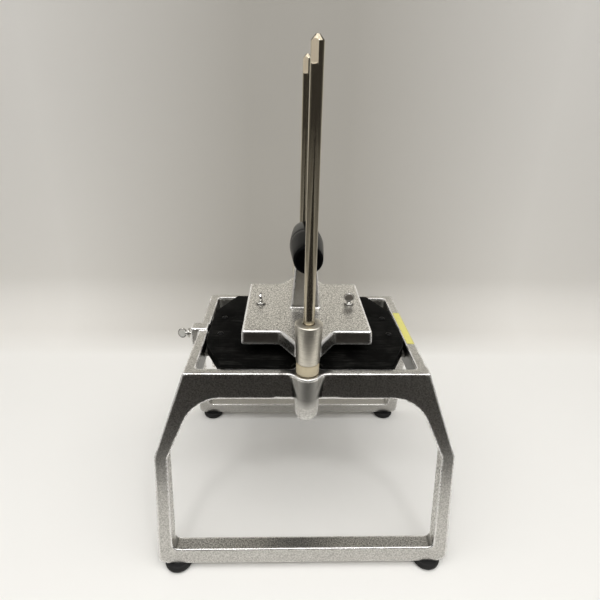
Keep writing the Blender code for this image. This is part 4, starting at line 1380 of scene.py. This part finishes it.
@dataclass
class ThumbScrews:
    """Two screws that hold the pusher block and one that locks the carrier."""

    spade_width: float = 0.0131
    spade_low: float = 0.0036
    spade_high: float = 0.0143
    spade_thickness: float = 0.0026
    spade_edge: float = 0.0005
    spade_overlap: float = 0.002
    dish_border: float = 0.0013
    dish_depth: float = 0.0005
    dish_share: float = 0.78
    gap: float = 0.0003
    collar_radius: float = 0.0058
    collar_height: float = 0.0022
    collar_top: Profile = ((0.0006, 0.0), (0.0001, 0.0004), (0.0, 0.0009))
    collar_foot: float = 0.0003
    neck_radius: float = 0.0023
    neck_flare: float = 0.0002
    neck_rise: float = 0.0008
    root_radius: float = 0.0032
    shank_radius: float = 0.0024
    shank_tip: float = 0.0006
    pusher_shank: float = 0.0205
    lock_shank: float = 0.0255
    pusher_x: float = 0.0523
    pusher_y: float = 0.003
    pusher_seat: float = 0.2669
    lock_x: float = -0.1388
    lock_z: float = 0.228
    shade_angle: float = 35

    def build(self, finishes: Finishes) -> None:
        """Make each screw upright at the origin, then set it in its place."""
        left = Matrix.Translation((-self.pusher_x, self.pusher_y, self.pusher_seat))
        left = left @ Matrix.Rotation(math.pi / 2, 4, "Z")
        right = Matrix.Translation((self.pusher_x, self.pusher_y, self.pusher_seat))
        lock = Matrix.Translation((self.lock_x, 0, self.lock_z)) @ Matrix.Rotation(-math.pi / 2, 4, "Y")
        self.set_screw(Body.LEFT_SCREW, self.pusher_shank, left, finishes.plated)
        self.set_screw(Body.RIGHT_SCREW, self.pusher_shank, right, finishes.plated)
        self.set_screw(Body.LOCK_SCREW, self.lock_shank, lock, finishes.frosted)

    def set_screw(self, body: Body, shank: float, place: Matrix, material: Material) -> None:
        """Make one thumb screw and hand it over.

        Args:
            body: Body that it turns with, which has one CAD node of the same name.
            shank: Length of the shank below the collar.
            place: Where it goes from the origin.
            material: Material to dress it with.
        """
        screw = self.turned_part(shank)
        Bench.combine(screw, self.spade(), "UNION")
        Bench.edit()
        bpy.ops.mesh.select_all(action="SELECT")
        bpy.ops.mesh.dissolve_degenerate(threshold=Bench.WELD)
        bpy.ops.object.mode_set(mode="OBJECT")
        # Marks the spade's dish: a painted dark reflection on the pusher screws, a frosted finish on the lock
        # screw.
        RawAndShadeMask.paint(screw, self.in_dish)
        Bench.move(screw, place)
        screw.name = f"{body.value}_bright"
        Bench.shade(screw, self.shade_angle)
        hand_over(screw, body, material, [body.value])

    def in_dish(self, spot: Vector, normal: Vector) -> float:
        """1 inside the border of the spade's faces, and 0 elsewhere."""
        middle = (self.spade_low + self.spade_high) / 2
        aside = 2 * spot.x / self.spade_width
        above = 2 * (spot.z - middle) / (self.spade_high - self.spade_low)
        return float(abs(normal.y) > Bench.FACING and math.hypot(aside, above) < self.dish_share)

    def turned_part(self, shank: float) -> Piece:
        """Turn the shank, the collar and the neck below the spade."""
        collar, height, neck_top = self.collar_radius, self.collar_height, self.spade_low + self.spade_overlap
        return Bench.lathe("thumb_screw", [
            (0, neck_top), (self.neck_radius, neck_top),
            (self.neck_radius + self.neck_flare, height + self.neck_rise), (self.root_radius, height),
            *[(collar - inward, height - drop) for inward, drop in self.collar_top],
            (collar, self.gap + self.collar_foot), (collar - self.collar_foot, self.gap),
            (self.shank_radius, self.gap), (self.shank_radius, -shank + self.shank_tip),
            (self.shank_radius - self.shank_tip, -shank), (0, -shank)], steps=48)

    def spade(self) -> Piece:
        """Oval disc with a raised border on both faces, stretched from a disc one unit across."""
        height = self.spade_high - self.spade_low
        spade = Bench.drum("spade", 0.5, -self.spade_thickness / 2, self.spade_thickness / 2, steps=56)
        stretch = Matrix.Diagonal((self.spade_width, height, 1, 1))
        upright = Matrix.Rotation(math.pi / 2, 4, "X")
        Bench.move(spade, Matrix.Translation((0, 0, self.spade_low + height / 2)) @ upright @ stretch)
        Bench.edit()
        Bench.select(spade, lambda middle, normal: abs(normal.y) > Bench.FACING)
        bpy.ops.mesh.inset(thickness=self.dish_border, depth=0, use_individual=True)
        bpy.ops.mesh.inset(thickness=self.dish_border / 2, depth=-self.dish_depth, use_individual=True)
        bpy.ops.object.mode_set(mode="OBJECT")
        Bench.round_edges(spade, self.spade_edge)
        return spade


@dataclass
class RimStrip:
    """Blank strip of yellow film on the right-hand rim of the deck."""

    low_x: float = 0.1167
    high_x: float = 0.1258
    low_y: float = -0.0375
    high_y: float = 0.043
    start_height: float = 0.245
    lift: float = 0.00015
    thickness: float = 0.00015

    def build(self, finishes: Finishes, casting: Piece) -> None:
        """Lay a thin sheet onto the casting and give it thickness."""
        bpy.ops.object.select_all(action="DESELECT")
        middle = ((self.low_x + self.high_x) / 2, (self.low_y + self.high_y) / 2, self.start_height)
        bpy.ops.mesh.primitive_grid_add(x_subdivisions=12, y_subdivisions=80, size=1, location=middle)
        strip = Bench.named("rim_strip")
        strip.scale = (self.high_x - self.low_x, self.high_y - self.low_y, 1)
        Bench.settle(strip)
        Bench.modify(
            strip, "SHRINKWRAP", target=casting, wrap_method="PROJECT", use_project_z=True,
            use_positive_direction=False, use_negative_direction=True, offset=self.lift)
        Bench.modify(strip, "SMOOTH", factor=0.5, iterations=2)
        Bench.modify(strip, "SOLIDIFY", thickness=self.thickness, offset=1.0)
        Bench.shade(strip)
        hand_over(strip, Body.FRAME, finishes.film)


@dataclass
class PhotoCamera:
    """Camera at the photograph's viewing angle."""

    place: Point = (-0.0225, -0.4844, 0.495)
    pitch: float = 24.612
    yaw: float = -1.951
    roll: float = -1.246
    focal_pixels: float = 451.0
    frame_pixels: float = 600.0
    sensor: float = 36.0

    def build(self) -> None:
        """Make the camera and let the scene use it."""
        pitch = math.radians(self.pitch)
        yaw = math.radians(self.yaw)
        roll = math.radians(self.roll)
        ahead = Vector((-math.sin(yaw) * math.cos(pitch), math.cos(yaw) * math.cos(pitch), -math.sin(pitch)))
        level = Vector((math.cos(yaw), math.sin(yaw), 0))
        down = ahead.cross(level)
        right = math.cos(roll) * level + math.sin(roll) * down
        up = math.sin(roll) * level - math.cos(roll) * down
        data = bpy.data.cameras.new("photo_camera")
        data.sensor_width = self.sensor
        data.lens = self.focal_pixels / self.frame_pixels * self.sensor
        data.clip_start = 0.01
        camera = bpy.data.objects.new("photo_camera", data)
        turn = Matrix((right, up, -ahead)).transposed()
        camera.matrix_world = Matrix.Translation(self.place) @ turn.to_4x4()
        bpy.context.scene.collection.objects.link(camera)
        bpy.context.scene.camera = camera
        LOG.info("camera at %s", self.place)


@dataclass(frozen=True)
class Lamp:
    """A soft lamp that faces the middle of the dicer and stays out of the picture."""

    name: str
    place: Point
    size: Pair
    power: float
    mirrored: bool = True
    aim: Point = (0.0, 0.0, 0.2)

    def build(self) -> None:
        """Hang the lamp."""
        data = bpy.data.lights.new(self.name, "AREA")
        data.shape = "RECTANGLE"
        data.size, data.size_y = self.size
        data.energy = self.power
        lamp = bpy.data.objects.new(self.name, data)
        lamp.location = self.place
        lamp.rotation_mode = "QUATERNION"
        lamp.rotation_quaternion = (Vector(self.aim) - Vector(self.place)).to_track_quat("-Z", "Y")
        lamp.visible_camera = False
        lamp.visible_glossy = self.mirrored
        bpy.context.scene.collection.objects.link(lamp)


@dataclass
class Studio:
    """Pale floor and sweep, soft lamps, and a world that is dimmer in front of the dicer."""

    half_width: float = 4.0
    front: float = -4.0
    sweep_start: float = 0.34
    sweep_radius: float = 0.12
    height: float = 2.4
    rise_before: float = 0.02
    rise_after: float = 0.06
    outward: Pair = (0.1, 0.5)
    # Where the painted shade of an unlit room begins, in front and to the sides.
    shade_front: float = -0.365
    shade_fade: float = 0.02
    shade_side: float = 0.80
    side_fade: float = 0.2
    side_share: float = 0.7
    gap_half_width: float = 0.60
    gap_share: float = 0.5
    glow_low: float = 0.38
    glow_high: float = 0.62
    glow_side: float = 0.46
    soft_edge: float = 0.1
    wall_reach: float = 0.62
    reach_fade: float = 0.25
    reach_share: float = 0.8
    paper_rough: float = 0.9
    floor_colour: Colour = (0.84, 0.83, 0.80)
    # Wall colour: darker in the middle as painted shade, lighter to the sides as painted light.
    wall_colour: Colour = (0.46, 0.44, 0.40)
    wall_side_painted_light: Colour = (0.74, 0.72, 0.68)
    # Painted shade that only reflections and bounced light see.
    dark_colour: Colour = (0.013, 0.0105, 0.0085)
    glow_colour: Colour = (0.37, 0.36, 0.33)
    unlit: Colour = (0.0, 0.0, 0.0)
    behind: Pair = (-0.2, 0.7)
    above: Pair = (0.50, 0.75)
    ahead_light: Colour = (0.020, 0.016, 0.013)
    behind_light: Colour = (0.36, 0.35, 0.33)
    above_light: Colour = (0.90, 0.885, 0.86)
    past_stage: Colour = (0.62, 0.61, 0.58)
    lamps: tuple[Lamp, ...] = (
        Lamp("overhead_lamp", (0.0, -0.4, 1.6), (3.0, 2.2), 25.0),
        Lamp("front_lamp_left", (-0.45, -1.0, 1.65), (0.16, 0.16), 2.5),
        Lamp("front_lamp_right", (0.45, -1.0, 1.65), (0.16, 0.16), 2.5),
        Lamp("floor_fill", (0.0, -1.3, 0.5), (1.8, 0.6), 3.0, mirrored=False))

    def build(self) -> None:
        """Make the stage, the lamps and the world."""
        self.build_stage()
        for lamp in self.lamps:
            lamp.build()
        self.build_world()
        bpy.context.scene.view_settings.view_transform = "Standard"
        LOG.info("studio ready")

    def build_stage(self) -> None:
        """Floor that sweeps up into a wall behind the dicer."""
        rear = self.sweep_start + self.sweep_radius
        depth = rear - self.front
        bpy.ops.object.select_all(action="DESELECT")
        bpy.ops.mesh.primitive_plane_add(size=1.0, location=(0, self.front + depth / 2, 0))
        stage = Bench.named("studio_sweep")
        stage.scale = (2 * self.half_width, depth, 1)
        Bench.settle(stage)
        Bench.edit()
        Bench.select_edges(stage, lambda first, second: min(first.y, second.y) > rear - Bench.WELD)
        Bench.draw_out((0, 0, self.height))
        bpy.ops.object.mode_set(mode="OBJECT")
        Bench.round_edges(stage, self.sweep_radius, segments=16)
        stage.data.materials.append(self.stage_material())

    def stage_material(self) -> Material:
        """Pale floor, a warm grey wall painted darker in the middle and lighter to the sides, a band that
        glows in reflections, and painted shade in front that only reflections see.
        """
        material, graph, shader = Finish("studio_paper").start()
        place = graph.add("ShaderNodeSeparateXYZ")
        graph.feed(place.inputs["Vector"], graph.place())
        sideways = graph.add("ShaderNodeMath", operation="ABSOLUTE")
        graph.feed(sideways.inputs[0], place.outputs["X"])
        aside, depth, height = sideways.outputs["Value"], place.outputs["Y"], place.outputs["Z"]
        rays = graph.add("ShaderNodeLightPath").outputs
        rising = graph.span(depth, (self.sweep_start - self.rise_before, self.sweep_start + self.rise_after))
        # Painted light and shade: the wall gets lighter from the middle to the sides.
        wall = graph.blend(graph.span(aside, self.outward), self.wall_colour, self.wall_side_painted_light)
        paper = graph.blend(rising, self.floor_colour, wall)
        beyond = self.darkness(graph, aside, depth, height)
        # Painted shade of an unlit room: only reflections and bounced light see it, never the camera.
        unseen = graph.maths("SUBTRACT", beyond, rays["Is Camera Ray"])
        band = graph.maths("MULTIPLY", self.glow_band(graph, aside, height), rising)
        glow = graph.maths("MULTIPLY", band, rays["Is Glossy Ray"])
        graph.feed_all(shader, {
            "Base Color": graph.blend(unseen, paper, self.dark_colour),
            "Roughness": self.paper_rough,
            "Specular IOR Level": 0.0,
            "Emission Color": graph.blend(glow, self.unlit, self.glow_colour),
            "Emission Strength": 1.0})
        mix = graph.add("ShaderNodeMixShader")
        graph.feed_all(mix, {
            0: graph.add("ShaderNodeNewGeometry").outputs["Backfacing"],
            1: shader.outputs["BSDF"],
            2: graph.add("ShaderNodeBsdfTransparent").outputs["BSDF"]})
        graph.feed(material.node_tree.nodes["Material Output"].inputs["Surface"], mix.outputs["Shader"])
        return material

    def darkness(self, graph: Graph, aside: Socket, depth: Socket, height: Socket) -> Socket:
        """Share of painted shade on the stage in front, far to the sides and high up.

        Args:
            graph: Graph of the stage's material.
            aside: Distance from the middle to the side.
            depth: Place from front to rear.
            height: Height above the floor.

        Returns:
            Share of the painted shade colour.
        """
        gap, side, reach = self.gap_half_width, self.shade_side, self.wall_reach
        middle = graph.span(aside, (gap, gap + self.soft_edge), 1.0, self.gap_share)
        in_front = graph.span(depth, (self.shade_front, self.shade_front - self.shade_fade))
        in_front = graph.maths("MULTIPLY", in_front, middle)
        at_side = graph.span(aside, (side, side + self.side_fade), to_high=self.side_share)
        overhead = graph.span(height, (reach, reach + self.reach_fade), to_high=self.reach_share)
        return graph.maths("MAXIMUM", in_front, graph.maths("MAXIMUM", at_side, overhead))

    def glow_band(self, graph: Graph, aside: Socket, height: Socket) -> Socket:
        """Band across the wall with soft edges, which lights up in reflections.

        Args:
            graph: Graph of the stage's material.
            aside: Distance from the middle to the side.
            height: Height above the floor.

        Returns:
            1 inside the band and 0 outside.
        """
        band = graph.span(height, (self.glow_low - self.soft_edge, self.glow_low))
        for value, end in ((height, self.glow_high), (aside, self.glow_side)):
            fade = graph.span(value, (end, end + self.soft_edge), 1.0, 0.0)
            band = graph.maths("MULTIPLY", band, fade)
        return band

    def build_world(self) -> None:
        """Dim in front, lighter behind and above, and pale where the camera looks past the stage."""
        world = bpy.data.worlds.new("studio_world")
        world.use_nodes = True
        graph = Graph(world.node_tree)
        direction = graph.add("ShaderNodeSeparateXYZ")
        graph.feed(direction.inputs["Vector"], graph.add("ShaderNodeTexCoord").outputs["Generated"])
        behind = graph.span(direction.outputs["Y"], self.behind)
        above = graph.span(direction.outputs["Z"], self.above)
        around = graph.blend(behind, self.ahead_light, self.behind_light)
        around = graph.blend(above, around, self.above_light)
        seen = graph.add("ShaderNodeLightPath").outputs["Is Camera Ray"]
        background = world.node_tree.nodes["Background"]
        graph.feed(background.inputs["Color"], graph.blend(seen, around, self.past_stage))
        bpy.context.scene.world = world


def main() -> None:
    """Build every sub-assembly in order, then the studio."""
    logging.basicConfig(level=logging.INFO, format="%(name)s: %(message)s")
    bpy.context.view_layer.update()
    PhotoCamera().build()
    finishes = Finishes()
    casting = FrameCasting().build(finishes)
    RimStrip().build(finishes, casting)
    GuideRods().build(finishes)
    Feet().build(finishes)
    BladeCarrier().build(finishes)
    PushHead().build(finishes)
    Grip().build(finishes)
    ThumbScrews().build(finishes)
    Studio().build()


if __name__ == "__main__":
    main()
